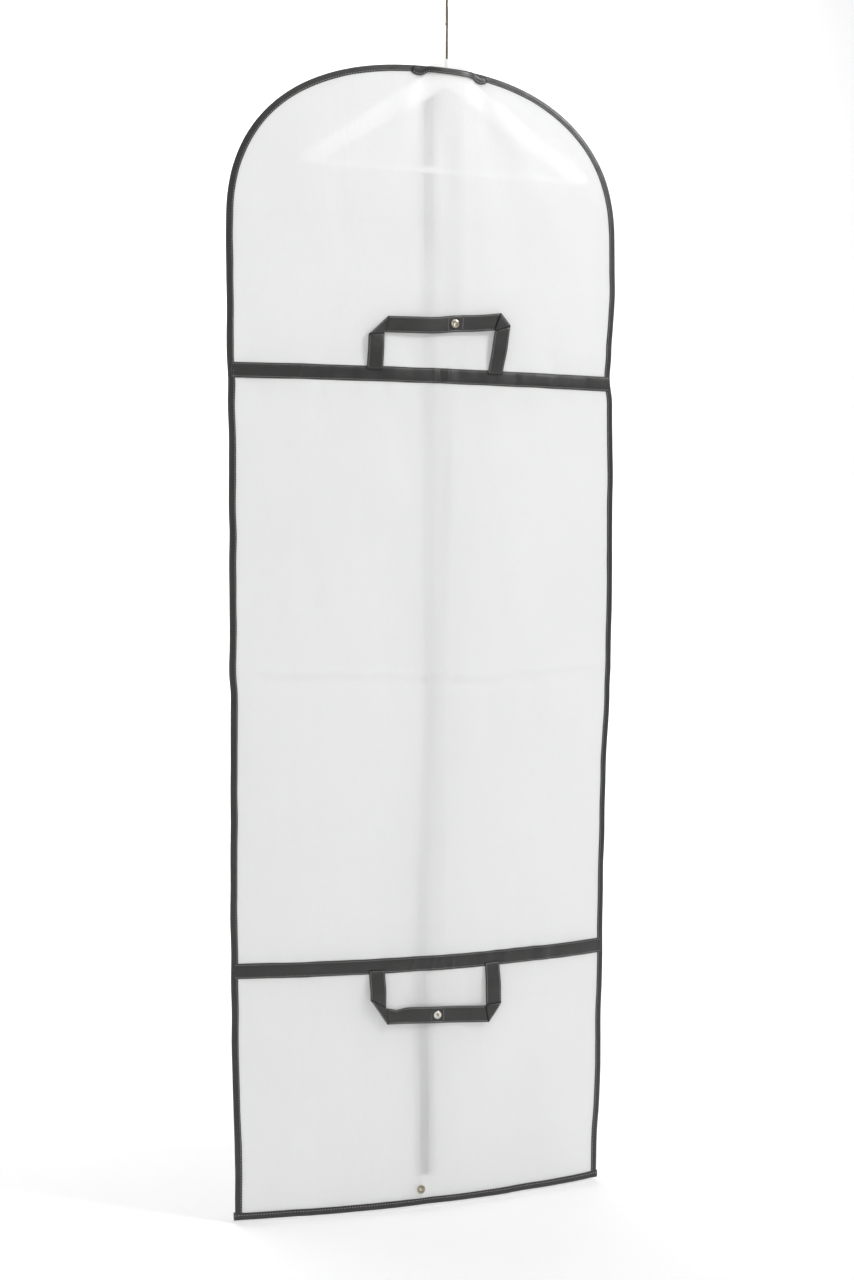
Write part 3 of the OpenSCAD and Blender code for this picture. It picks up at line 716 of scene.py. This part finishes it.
for side, nm in ((-1, "left"), (1, "right")):
    pth = even(side_path(side, SEAM2, SEAM1), 0.0036)
    ob = strip("edge_binding_middle_" + nm, pth, seed=21 + side, inward=turn_in(pth, side), thick=1 + 0.35 * gauss(pth[:, 2] - Z_F2, 0.008))
    bend(ob)
    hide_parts("side_binding_upper_mid_" + nm, "side_binding_lower_mid_" + nm)
    pth = even(side_path(side, Z_B + 0.0005, SEAM2), 0.0036)
    ob = strip("edge_binding_bottom_" + nm, pth, seed=31 + side, inward=turn_in(pth, side))
    bend(ob)
    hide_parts("side_binding_bottom_" + nm)

# neck: front and back layers part, each with its own binding
for nm, side, cad_strip in (("front", -1, "neck_binding_front"), ("back", 1, "neck_binding_back")):
    s = np.linspace(sl - 0.050, sr + 0.050, 70)
    z = Z_A + ARCH_B * np.power(np.clip(1 - np.abs(s) ** PW, 0, 1), 1 / PW)
    x = CX + s * np.where(s < 0, half(z, -1), half(z, 1))
    o = neck_open(x, z)
    y = edge_y(z) + side * (0.0010 + 0.0086 * o)
    ends = np.minimum(np.abs(s - s[0]), np.abs(s - s[-1])) * 0.3
    z = z - (0.0026 * o + 0.0042 * gauss(ends - 0.007, 0.008) if side < 0 else -0.0008 * o)
    pth = even(np.stack([x, y, z], -1), 0.0026)
    e = np.minimum(np.linalg.norm(pth - pth[0], axis=1), np.linalg.norm(pth - pth[-1], axis=1))
    ob = strip("neck_edge_binding_" + nm, pth, 0.90 + 0.22 * gauss(e - 0.008, 0.008), 0.95 + 1.0 * gauss(e - 0.007, 0.008), 51 + side, inward=turn_in(pth, 0))
    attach(ob, "top_section")
    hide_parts(cad_strip)

# bottom edge: one strip over both layers and the end of the zip, its ends turned round the corners
x = np.linspace(CX - half(Z_B + 0.01, -1) - 0.0016, CX + half(Z_B + 0.01, 1) + 0.0006, 170)
zb = np.full_like(x, Z_B) + 0.0006 * noise2(x, 0 * x, 0.05, 1, 71)
yf, yb = y_front(x, zb + 0.006), y_back(x, zb + 0.006)
ym, gapy = (yf + yb) / 2, (yb - yf) / 2
r_end = np.minimum(x - x[0], x[-1] - x)
b = Build()
prof = np.array(FOLD)
V = np.zeros((len(x), len(prof), 3))
rel = 1 + 0.12 * noise2(x, 0 * x, 0.012, 1, 72)
for j, (u, v) in enumerate(prof):
    open_ = smooth(u, 0.0, 0.006)
    V[:, j] = np.stack([x, ym + v * rel * (1 + 0.5 * gauss(r_end, 0.012)) + np.sign(v) * gapy * open_, zb + u * 1.05 * (1 + 0.12 * gauss(r_end, 0.010))], -1)
b.add(V, tube_faces(len(x), len(prof)))
for k in (-1, 1):
    line = np.stack([x, ym + k * (0.0014 * rel * (1 + 0.5 * gauss(r_end, 0.012)) + gapy), zb + 0.0074], -1)
    stitch_row(b, line, np.tile([0, float(k), 0], (len(x), 1)))
bottom = outward(b.make("bottom_edge_binding", [M_LEATHER, M_THREAD_PAINTED_HIGHLIGHT]))
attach(bottom, "bottom_section")
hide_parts("bottom_binding")

# ------------------------------------------------------------------ the two bands across the front
def band_object(name, z1, z2, seed, creases, body, cad, long_fold=0.0):
    h = z2 - z1
    x = np.linspace(CX - half(z1, -1) + 0.004, CX + half(z1, 1) - 0.004, 330)
    def lift(xx, zz):
        out = 0.0005 * noise2(xx, zz, 0.020, 0.05, seed) + 0.0003 * noise2(xx, zz, 0.007, 0.03, seed + 1)
        for c, w, a, lean in creases:
            out = out + a * gauss(xx - c - lean * (zz - z1), w)
        if long_fold:
            # a lengthwise fold that wanders along the left part of the band
            t = (zz - z1) / h
            line = 0.55 - 0.10 * np.sin((xx - CX) * 21 + 1.0) - 0.16 * smooth(xx, CX - 0.26, CX - 0.12)
            out = out + long_fold * (gauss(t - line - 0.16, 0.13) - 0.9 * gauss(t - line, 0.06)) * (1 - smooth(xx, CX - 0.12, CX - 0.05))
        return out
    rows = [(0.0, 0.00), (0.0, 0.9), (0.02, 1.25), (0.06, 1.35), (0.10, 1.10), (0.14, 1.35), (0.30, 1.5), (0.50, 1.55), (0.70, 1.5), (0.86, 1.35), (0.90, 1.10), (0.94, 1.35), (0.98, 1.25), (1.0, 0.9), (1.0, 0.0), (0.5, -0.15)]
    V = np.zeros((len(x), len(rows), 3))
    for j, (t, d) in enumerate(rows):
        z = z1 + h * t + 0.0004 * noise2(x, 0 * x, 0.04, 1, seed + 5)
        V[:, j] = np.stack([x, y_front(x, z) - 0.0002 - d * 0.0009 - (lift(x, z) if d > 0.5 else 0), z], -1)
    b = Build()
    b.add(V, tube_faces(len(x), len(rows)))
    for t in (0.10, 0.90):
        z = z1 + h * t + 0 * x
        line = np.stack([x, y_front(x, z) - 0.0002 - 1.12 * 0.0009 - lift(x, z), z], -1)
        stitch_row(b, line, np.tile([0, -1.0, 0], (len(x), 1)), 0.0036, 0.0025)
    ob = outward(b.make(name, [M_LEATHER, M_THREAD_PAINTED_HIGHLIGHT]))
    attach(ob, body)
    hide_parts(cad)
    return ob

band_object("band_upper", lo("upper_band").z, hi("upper_band").z, 81,
            [(-0.030, 0.0022, 0.0010, 0.05), (-0.019, 0.0018, -0.0008, -0.1), (-0.010, 0.0026, 0.0012, 0.1), (0.002, 0.0016, 0.0008, 0.0), (-0.235, 0.004, 0.0009, 0.5), (-0.19, 0.005, -0.0007, 0.4), (0.16, 0.005, 0.0006, 0.2)],
            "upper_mid_section", "upper_band", 0.0012)
band_object("band_lower", lo("lower_band").z, hi("lower_band").z, 91,
            [(-0.066, 0.0025, 0.0009, 0.3), (-0.052, 0.0020, -0.0008, -0.2), (-0.036, 0.0030, 0.0011, 0.3), (-0.018, 0.0022, 0.0009, -0.2), (-0.004, 0.0026, 0.0010, 0.1), (0.12, 0.005, 0.0006, -0.3)],
            "lower_mid_section", "lower_band")

# ------------------------------------------------------------------ handles: a folded strap with mitred corners
def slanted(b, starts, ends, y_at, half_t=0.0012, n=14, rows=13, stitch_in=0.0021, seed=7):
    """A strap between two slanted end lines. starts and ends are ((x, z) of one edge, (x, z) of the other)."""
    (a0, a1), (c0, c1) = np.array(starts, float), np.array(ends, float)
    us = np.linspace(0, 1, rows)
    loop = [(u, -1.0) for u in us] + [(u, 1.0) for u in us[::-1]]
    V = []
    for i in range(n):
        t = i / (n - 1)
        p0, p1 = a0 + (c0 - a0) * t, a1 + (c1 - a1) * t
        ring = []
        for u, sgn in loop:
            p = p0 + (p1 - p0) * u
            rim = min(u, 1 - u) * np.linalg.norm(p1 - p0)
            puff = 0.45 + 0.55 * math.sqrt(min(1, rim / 0.0018))
            near = abs(rim - stitch_in)
            dip = 0.22 * math.exp(-(near / 0.0009) ** 2)
            k = 1 + 0.10 * float(noise2(p[0], p[1], 0.010, 0.010, seed))
            ring.append((p[0], y_at(p[0], p[1]) + sgn * half_t * (puff - dip) * k, p[1]))
        V.append(ring)
    b.add(np.array(V), tube_faces(n, len(loop)))
    for sgn in (-1, 1):
        for edge in (0, 1):
            q0, q1 = ((a0, c0), (a1, c1))[edge]
            o0, o1 = ((a1, c1), (a0, c0))[edge]
            m0 = q0 + (o0 - q0) * (stitch_in / np.linalg.norm(o0 - q0))
            m1 = q1 + (o1 - q1) * (stitch_in / np.linalg.norm(o1 - q1))
            pts = np.array([(m0 + (m1 - m0) * t).tolist() for t in np.linspace(0.02, 0.98, 30)])
            line = np.array([(p[0], y_at(p[0], p[1]) + sgn * half_t * 0.93, p[1]) for p in pts])
            stitch_row(b, line, np.tile([0, float(sgn), 0], (len(line), 1)), 0.0036, 0.0025)

def box_stitch(b, cx, cz, y, size, sgn=-1.0):
    c = size / 2
    corners = [(cx - c, cz - c), (cx + c, cz - c), (cx + c, cz + c), (cx - c, cz + c), (cx - c, cz - c)]
    for (x0, z0), (x1, z1) in zip(corners[:-1], corners[1:]):
        line = np.array([(x0 + (x1 - x0) * t, y, z0 + (z1 - z0) * t) for t in np.linspace(0.03, 0.97, 12)])
        stitch_row(b, line, np.tile([0, sgn, 0], (12, 1)), 0.0034, 0.0024)

def handle_object(name, cad, up, cuts, warp, snap_node, body, crumple=None):
    """cuts: (width, height) of the folded corner at the left and right. warp: (x shift at the left root, left top, right root, right top, then z shifts of the grip from left to right), in metres."""
    x0, x1 = lo(cad).x, hi(cad).x
    z_root = lo(cad).z if up > 0 else hi(cad).z
    z_tip = hi(cad).z if up > 0 else lo(cad).z
    ym = (lo(cad).y + hi(cad).y) / 2
    W = 0.024
    (clx, clz), (crx, crz) = cuts
    snap = (lo(snap_node) + hi(snap_node)) / 2
    H = abs(z_tip - z_root)
    zt = lambda h: z_root + up * h
    def y_at(x, z):
        # the straps bow a little, and the legs lean back to the band at their roots
        h = (z - z_root) * up
        root = 1 - float(smooth(h, 0.0, 0.030))
        back = float(y_front(x, z_root - 0.006 if up > 0 else z_root + 0.006)) - 0.0034
        bow = 0.0009 * math.sin(x * 61 + 1.3) * float(smooth(h, 0.03, 0.06))
        return ym + bow + max(0.0, back - ym) * root
    b = Build()
    lay = lambda f: (lambda x, z: y_at(x, z) + f)
    tuck = -0.004
    slanted(b, ((x0, zt(tuck)), (x0 + W, zt(tuck))), ((x0, zt(H - clz)), (x0 + W, zt(H - W))), lay(0.0006), n=18)
    slanted(b, ((x1 - W, zt(tuck)), (x1, zt(tuck))), ((x1 - W, zt(H - W)), (x1, zt(H - crz))), lay(0.0006), n=18, seed=9)
    # the strap folded over at each corner
    slanted(b, ((x0, zt(H - clz)), (x0 + W, zt(H - W - 0.0004))), ((x0 + clx, zt(H)), (x0 + W + 0.0004, zt(H - W))), lay(-0.0006), n=9, seed=10)
    slanted(b, ((x1 - W - 0.0004, zt(H - W)), (x1 - crx, zt(H))), ((x1 - W, zt(H - W - 0.0004)), (x1, zt(H - crz))), lay(-0.0006), n=9, seed=10)
    n = 30
    us = np.linspace(0, 1, 15)
    loop = [(u, -1.0) for u in us] + [(u, 1.0) for u in us[::-1]]
    V = []
    for t in np.linspace(0, 1, n):
        xt, xb = (x0 + clx) + (x1 - crx - x0 - clx) * t, (x0 + W) + (x1 - W - x0 - W) * t
        ring = []
        for u, sgn in loop:
            x, z = xb + (xt - xb) * u, zt(H - W + W * u)
            rim = min(u, 1 - u) * W
            puff = 0.45 + 0.55 * math.sqrt(min(1, rim / 0.0018)) - 0.22 * math.exp(-(abs(rim - 0.0021) / 0.0009) ** 2)
            ring.append((x, y_at(x, z) + sgn * 0.0012 * puff * (1 + 0.14 * float(noise2(x, z, 0.010, 0.010, 12))), z))
        V.append(ring)
    b.add(np.array(V), tube_faces(n, len(loop)))
    for sgn in (-1, 1):
        for h, a0, a1 in ((0.0021, clx + 0.001, crx + 0.001), (W - 0.0021, W + 0.001, W + 0.001)):
            line = np.array([(x, y_at(x, zt(H - h)) + sgn * 0.00115, zt(H - h)) for x in np.linspace(x0 + a0, x1 - a1, 70)])
            stitch_row(b, line, np.tile([0, float(sgn), 0], (70, 1)), 0.0036, 0.0025)
    box_stitch(b, snap.x, snap.z, y_at(snap.x, snap.z) - 0.00118, 0.0195)
    ob = b.make(name, [M_STRAP, M_THREAD_PAINTED_HIGHLIGHT])
    # the sewn handle isn't square: its corners stand at different heights, and its legs splay
    co = np.array([v.co for v in ob.data.vertices])
    h = np.clip((co[:, 2] - z_root) * up / H, 0, 1.0)
    t = (co[:, 0] - x0) / (x1 - x0)
    l0, l1, r0, r1 = warp[:4]
    dz = np.interp(t, np.linspace(0, 1, len(warp) - 4), warp[4:])
    kern = np.exp(-((t[:, None] - np.linspace(-0.2, 1.2, 57)[None]) / 0.08) ** 2)
    dzs = np.interp(np.linspace(-0.2, 1.2, 57), np.linspace(0, 1, len(warp) - 4), warp[4:])
    dz = (kern * dzs[None]).sum(1) / kern.sum(1)
    # the snap stays where its CAD half sits
    ts = (snap.x - x0) / (x1 - x0)
    co[:, 2] += (dz - np.interp(ts, np.linspace(0, 1, len(warp) - 4), warp[4:]) * np.exp(-((t - ts) / 0.10) ** 2)) * smooth(h, 0.0, 0.85)
    co[:, 0] += (l0 + (l1 - l0) * h) * (1 - smooth(t, 0.15, 0.45)) + (r0 + (r1 - r0) * h) * smooth(t, 0.55, 0.85)
    if crumple is not None:
        cx_, amp = crumple
        inner = smooth(1 - h, 0.18, 0.32) * (1 - smooth(1 - h, 0.34, 0.40))
        co[:, 1] += 0.0022 * np.exp(-((co[:, 0] - cx_) / 0.011) ** 2) * inner
        co[:, 2] += -up * amp * np.exp(-((co[:, 0] - cx_) / 0.010) ** 2) * inner * -1
    ob.data.vertices.foreach_set("co", co.astype(np.float32).ravel())
    outward(ob)
    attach(ob, body)
    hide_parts(cad)
    return ob

handle_object("handle_strap_upper", "upper_handle", 1, ((0.0285, 0.027), (0.0185, 0.0195)), (-0.0045, -0.002, -0.002, 0.0105, -0.0060, -0.0050, -0.0040, 0.0020, 0.0090), "upper_snap_socket", "upper_handle")
handle_object("handle_strap_lower", "lower_handle", -1, ((0.0255, 0.0375), (0.0200, 0.0270)), (0.002, 0.002, -0.0033, -0.0033, 0.0042, 0.0030, 0.0, -0.0030, -0.0060), "lower_snap_stud", "lower_handle", crumple=(-0.088, 0.0035))

# ------------------------------------------------------------------ lathed metal parts
def lathe(b, centre, profile, seg=48, mat=0, axis=-1):
    """Turns (radius, height) pairs round an axis along y; height grows toward -y when axis is -1."""
    prof = list(profile)
    m = len(prof)
    verts, faces = [], []
    for i in range(seg):
        a = 2 * math.pi * i / seg
        for r, h in prof:
            verts.append((centre[0] + r * math.cos(a), centre[1] + axis * h, centre[2] + r * math.sin(a)))
    for i in range(seg):
        k = (i + 1) % seg
        for j in range(m):
            l = (j + 1) % m
            if prof[j][0] < 1e-7 and prof[l][0] < 1e-7:
                continue
            faces.append((i * m + j, i * m + l, k * m + l, k * m + j))
    b.add(verts, faces, mat)

def tidy(ob):
    bm = bmesh.new()
    bm.from_mesh(ob.data)
    bmesh.ops.remove_doubles(bm, verts=bm.verts, dist=1e-6)
    bmesh.ops.dissolve_degenerate(bm, edges=bm.edges, dist=1e-7)
    bmesh.ops.recalc_face_normals(bm, faces=bm.faces)
    bm.to_mesh(ob.data)
    bm.free()
    return ob

# near-black finish for the socket's spring: painted shade for the slot, not the spring's own colour
M_SLOT_PAINTED_SHADE = leather("snap_slot_painted_shade", (0.006, 0.006, 0.006), 0.6)

# socket half: a domed cap with an S spring in its slot; the spring is coloured near black, painted shade for the slot
# it lies in
c = (lo("upper_snap_socket") + hi("upper_snap_socket")) / 2
face = hi("upper_snap_socket").y
b = Build()
lathe(b, (c.x, face, c.z), [(0.0000, -0.0002), (0.0060, -0.0002), (0.0062, 0.0002), (0.0061, 0.0008), (0.0056, 0.0012), (0.0050, 0.0011), (0.0046, 0.00125), (0.0042, 0.0017), (0.0034, 0.00195), (0.0024, 0.0019), (0.0021, 0.0015), (0.0019, 0.0006), (0.0, 0.0006)])
for sgn in (-1, 1):
    pts = [(c.x + sgn * (0.0031 * math.cos(t)), face - 0.00185, c.z + sgn * (0.0031 * math.sin(t)) ) for t in np.linspace(0.5, 2.6, 14)]
    for p, q in zip(pts[:-1], pts[1:]):
        stitch(b, p, q, (0, -1, 0), 1, 0.00034, 0.0001)
ob = tidy(b.make("snap_socket_dome", [M_SOCKET, M_SLOT_PAINTED_SHADE]))
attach(ob, "upper_handle"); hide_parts("upper_snap_socket")

# stud half: a bright flat ring round its post
c = (lo("lower_snap_stud") + hi("lower_snap_stud")) / 2
face = hi("lower_snap_stud").y if lo("lower_snap_stud").y < -0.033 else -0.032
face = -0.032
b = Build()
lathe(b, (c.x, face, c.z), [(0.0, -0.0002), (0.0056, -0.0002), (0.0058, 0.0003), (0.0056, 0.0009), (0.0050, 0.0011), (0.0044, 0.0008), (0.0036, 0.00065), (0.0026, 0.0007), (0.0022, 0.0009), (0.0, 0.0009)])
lathe(b, (c.x, face, c.z), [(0.0, 0.0004), (0.0021, 0.0004), (0.0021, 0.0010), (0.00165, 0.0013), (0.0017, 0.0019), (0.00195, 0.0022), (0.0018, 0.0026), (0.0010, 0.0028), (0.0, 0.00283)], 32, 1)
ob = tidy(b.make("snap_stud_ring", [M_NICKEL, M_AGED]))
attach(ob, "lower_handle"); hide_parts("lower_snap_stud")

# eyelet: a rolled rim on the front, its barrel through both layers; its metal is darkened, partly its antique colour
# and partly painted shade for its shadowed bore
b = Build()
f0, r0 = lo("eyelet").y, (hi("eyelet").x - lo("eyelet").x) / 2
y1 = hi("eyelet").y
lathe(b, (EYE.x, f0, EYE.z), [(0.00285, 0.0), (0.0033, 0.0004), (0.0042, 0.0005), (0.0053, 0.0003), (0.0060, -0.0002), (r0, -0.0007), (0.0059, -0.0010), (0.0045, -0.0008), (0.0035, -0.0010), (0.0034, f0 - y1), (0.00278, f0 - y1), (0.00276, -0.0006)], 56)
ob = tidy(b.make("eyelet_rim", [M_AGED]))
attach(ob, "bottom_section"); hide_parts("eyelet")

# ------------------------------------------------------------------ zip: tapes and coil on the back
def tape_strip(name, side, z1, z2, part, nodes, n):
    z = np.linspace(z1, z2, n)
    us = [0.0032, 0.0036, 0.006, 0.009, 0.012, 0.0146, 0.0150]
    loop = [(u, 0.0009) for u in us] + [(u, 0.0001) for u in us[::-1]]
    V = np.zeros((n, len(loop), 3))
    for j, (u, d) in enumerate(loop):
        x = zip_x(z) + side * u
        rib = 0.00025 * math.exp(-((u - 0.0128) / 0.0009) ** 2) if d > 0.0005 else 0.0
        V[:, j] = np.stack([x, y_back(x, z) + 0.0001 + d + rib, z], -1)
    b = Build()
    b.add(V, tube_faces(n, len(loop)))
    for u in (0.0085, 0.0140):
        x = zip_x(z) + side * u
        stitch_row(b, np.stack([x, y_back(x, z) + 0.0011, z], -1), np.tile([0, 1.0, 0], (n, 1)), 0.0042, 0.0030)
    ob = outward(b.make(name, [M_TAPE, M_THREAD_PAINTED_HIGHLIGHT]))
    if part:
        bend(ob)
    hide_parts(*nodes)
    return ob

zt_top, zt_bot = hi("zip_tape_top_left").z, lo("zip_tape_bottom_left").z
zc_top, zc_bot = hi("zip_coil_top").z, lo("zip_coil_bottom").z
for side, nm in ((-1, "left"), (1, "right")):
    tape_strip("zip_tape_%s_upper" % nm, side, SEAM1, zt_top, "top", ("zip_tape_top_" + nm,), 90)
    tape_strip("zip_tape_%s_middle" % nm, side, SEAM2, SEAM1, "middle", ("zip_tape_upper_mid_" + nm, "zip_tape_lower_mid_" + nm), 170)
    tape_strip("zip_tape_%s_lower" % nm, side, zt_bot, SEAM2, "bottom", ("zip_tape_bottom_" + nm,), 70)

def coil_strip(name, z1, z2, nodes):
    """Spiral coil closed on itself: rounded turns from the two sides, meshing in the middle."""
    b = Build()
    pitch = 0.0021
    n = int((z2 - z1) / pitch)
    prof = [(-0.0029, 0.0006), (-0.0026, 0.0013), (-0.0012, 0.0018), (0.0004, 0.0017), (0.0010, 0.0011), (0.0004, 0.0004), (-0.0016, 0.0002)]
    h = pitch * 0.24
    for sgn in (-1, 1):
        tz = z1 + (np.arange(n) + 0.5 + 0.25 * sgn) * pitch
        tx = zip_x(tz)
        for z, mid_x, base in zip(tz, tx, y_back(tx, tz) + 0.0001):
            verts = [(mid_x - sgn * p[0], base + p[1], z + dz) for dz in (-h, h) for p in prof]
            b.add(verts, tube_faces(2, len(prof)))
    # the cords that the turns are sewn over
    zz = np.linspace(z1, z2, max(6, int((z2 - z1) / 0.006)))
    for sgn in (-1, 1):
        ring = [(0.0007 * math.cos(a), 0.0006 * math.sin(a)) for a in np.linspace(0, 2 * math.pi, 8, endpoint=False)]
        V = np.zeros((len(zz), 8, 3))
        for j, (u, d) in enumerate(ring):
            V[:, j] = np.stack([zip_x(zz) + sgn * 0.0020 + u, y_back(zip_x(zz), zz) + 0.0009 + d, zz], -1)
        b.add(V, tube_faces(len(zz), 8))
    ob = outward(b.make(name, [M_COIL]))
    bend(ob)
    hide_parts(*nodes)

coil_strip("zip_coil_turns_upper", SEAM1, zc_top, ("zip_coil_top",))
coil_strip("zip_coil_turns_middle", SEAM2, SEAM1, ("zip_coil_upper_mid", "zip_coil_lower_mid"))
coil_strip("zip_coil_turns_lower", zc_bot, SEAM2, ("zip_coil_bottom",))

# bottom stop: a crimped metal bar over the end of the coil
b = Build()
z0, z1 = lo("zip_bottom_stop").z, hi("zip_bottom_stop").z
mx, my = float(zip_x(z0)), float(y_back(zip_x(z0), z0))
ring = [(-0.0033, 0.0003), (-0.0033, 0.0015), (-0.0026, 0.0022), (0.0026, 0.0022), (0.0033, 0.0015), (0.0033, 0.0003)]
rows = [(z0, 0.80), (z0 + 0.0004, 0.97), (z0 + 0.0012, 1.0), (z1 - 0.0012, 1.0), (z1 - 0.0004, 0.97), (z1, 0.80)]
b.add(np.array([[(mx + u * k, my + 0.0002 + v * k, z) for u, v in ring] for z, k in rows]), tube_faces(len(rows), len(ring)))
ob = outward(b.make("zip_stop_bar", [M_NICKEL]))
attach(ob, "bottom_section"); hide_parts("zip_bottom_stop")

# ------------------------------------------------------------------ CAD pieces that keep their shape take their finish here
for n, m in (("hook", M_HOOK), ("hanger", M_PLASTIC), ("upper_snap_cap", M_NICKEL), ("lower_snap_cap", M_NICKEL), ("eyelet_washer", M_NICKEL),
             ("zip_slider", M_NICKEL), ("zip_pull", M_NICKEL), ("zip_top_stops", M_NICKEL)):
    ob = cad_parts[n]
    ob.data.materials.clear()
    ob.data.materials.append(m)

for (kind, part), ob in sheets.items():
    bend(ob)
    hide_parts(*NODES_OF[kind, part])
    w, l, a = cut_size(kind, part)

# ------------------------------------------------------------------ floor, backdrop, light
def stage_mat():
    m, nt, p, out = new_mat("floor_paper")
    n = node(nt, "ShaderNodeTexNoise", Scale=3.0, Detail=2.0)
    nt.links.new(mapping(nt), n.inputs["Vector"])
    c = ramp(nt, n.outputs["Fac"], [(0.3, (0.955, 0.955, 0.955)), (0.7, (0.965, 0.965, 0.965))])
    nt.links.new(c.outputs[0], p.inputs["Base Color"])
    p.inputs["Roughness"].default_value = 0.95
    p.inputs["Specular IOR Level"].default_value = 0.0
    return m

fz = Z_B - 0.004
b = Build()
prof = [(-9.0, fz), (4.2, fz)] + [(4.2 + 2.0 * math.sin(a), fz + 2.0 - 2.0 * math.cos(a)) for a in np.linspace(0.05, math.pi / 2, 20)] + [(6.2, fz + 9)]
V = [(x, y, z) for y, z in prof for x in (-14, 14)]
b.add(V, [(2 * i, 2 * i + 1, 2 * i + 3, 2 * i + 2) for i in range(len(prof) - 1)])
floor = b.make("floor_sweep", [stage_mat()])

world = bpy.data.worlds.new("studio")
scene.world = world
world.use_nodes = True
bg = world.node_tree.nodes["Background"]
bg.inputs[0].default_value = (1.0, 1.0, 1.0, 1)
bg.inputs[1].default_value = 0.455

def area(name, loc, target, size, power, color=(1, 1, 1)):
    d = bpy.data.lights.new(name, "AREA")
    d.shape = "RECTANGLE"
    d.size, d.size_y = size
    d.energy = power
    d.color = color
    ob = bpy.data.objects.new(name, d)
    scene.collection.objects.link(ob)
    ob.location = loc
    ob.rotation_euler = (Vector(target) - Vector(loc)).to_track_quat("-Z", "Y").to_euler()
    return ob

mid = (CX, 0, -0.9)
area("key_soft_box", (2.3, -2.2, 1.5), mid, (0.8, 0.8), 73)
area("fill_soft_box", (-3.4, -2.6, -0.2), mid, (2.2, 2.4), 35)
area("top_soft_box", (0.0, -1.2, 2.6), mid, (2.4, 1.8), 24)
area("wash_behind", (0.0, 2.6, 2.6), (-0.3, 6.2, -0.9), (6.0, 2.0), 300)

bpy.context.view_layer.update()
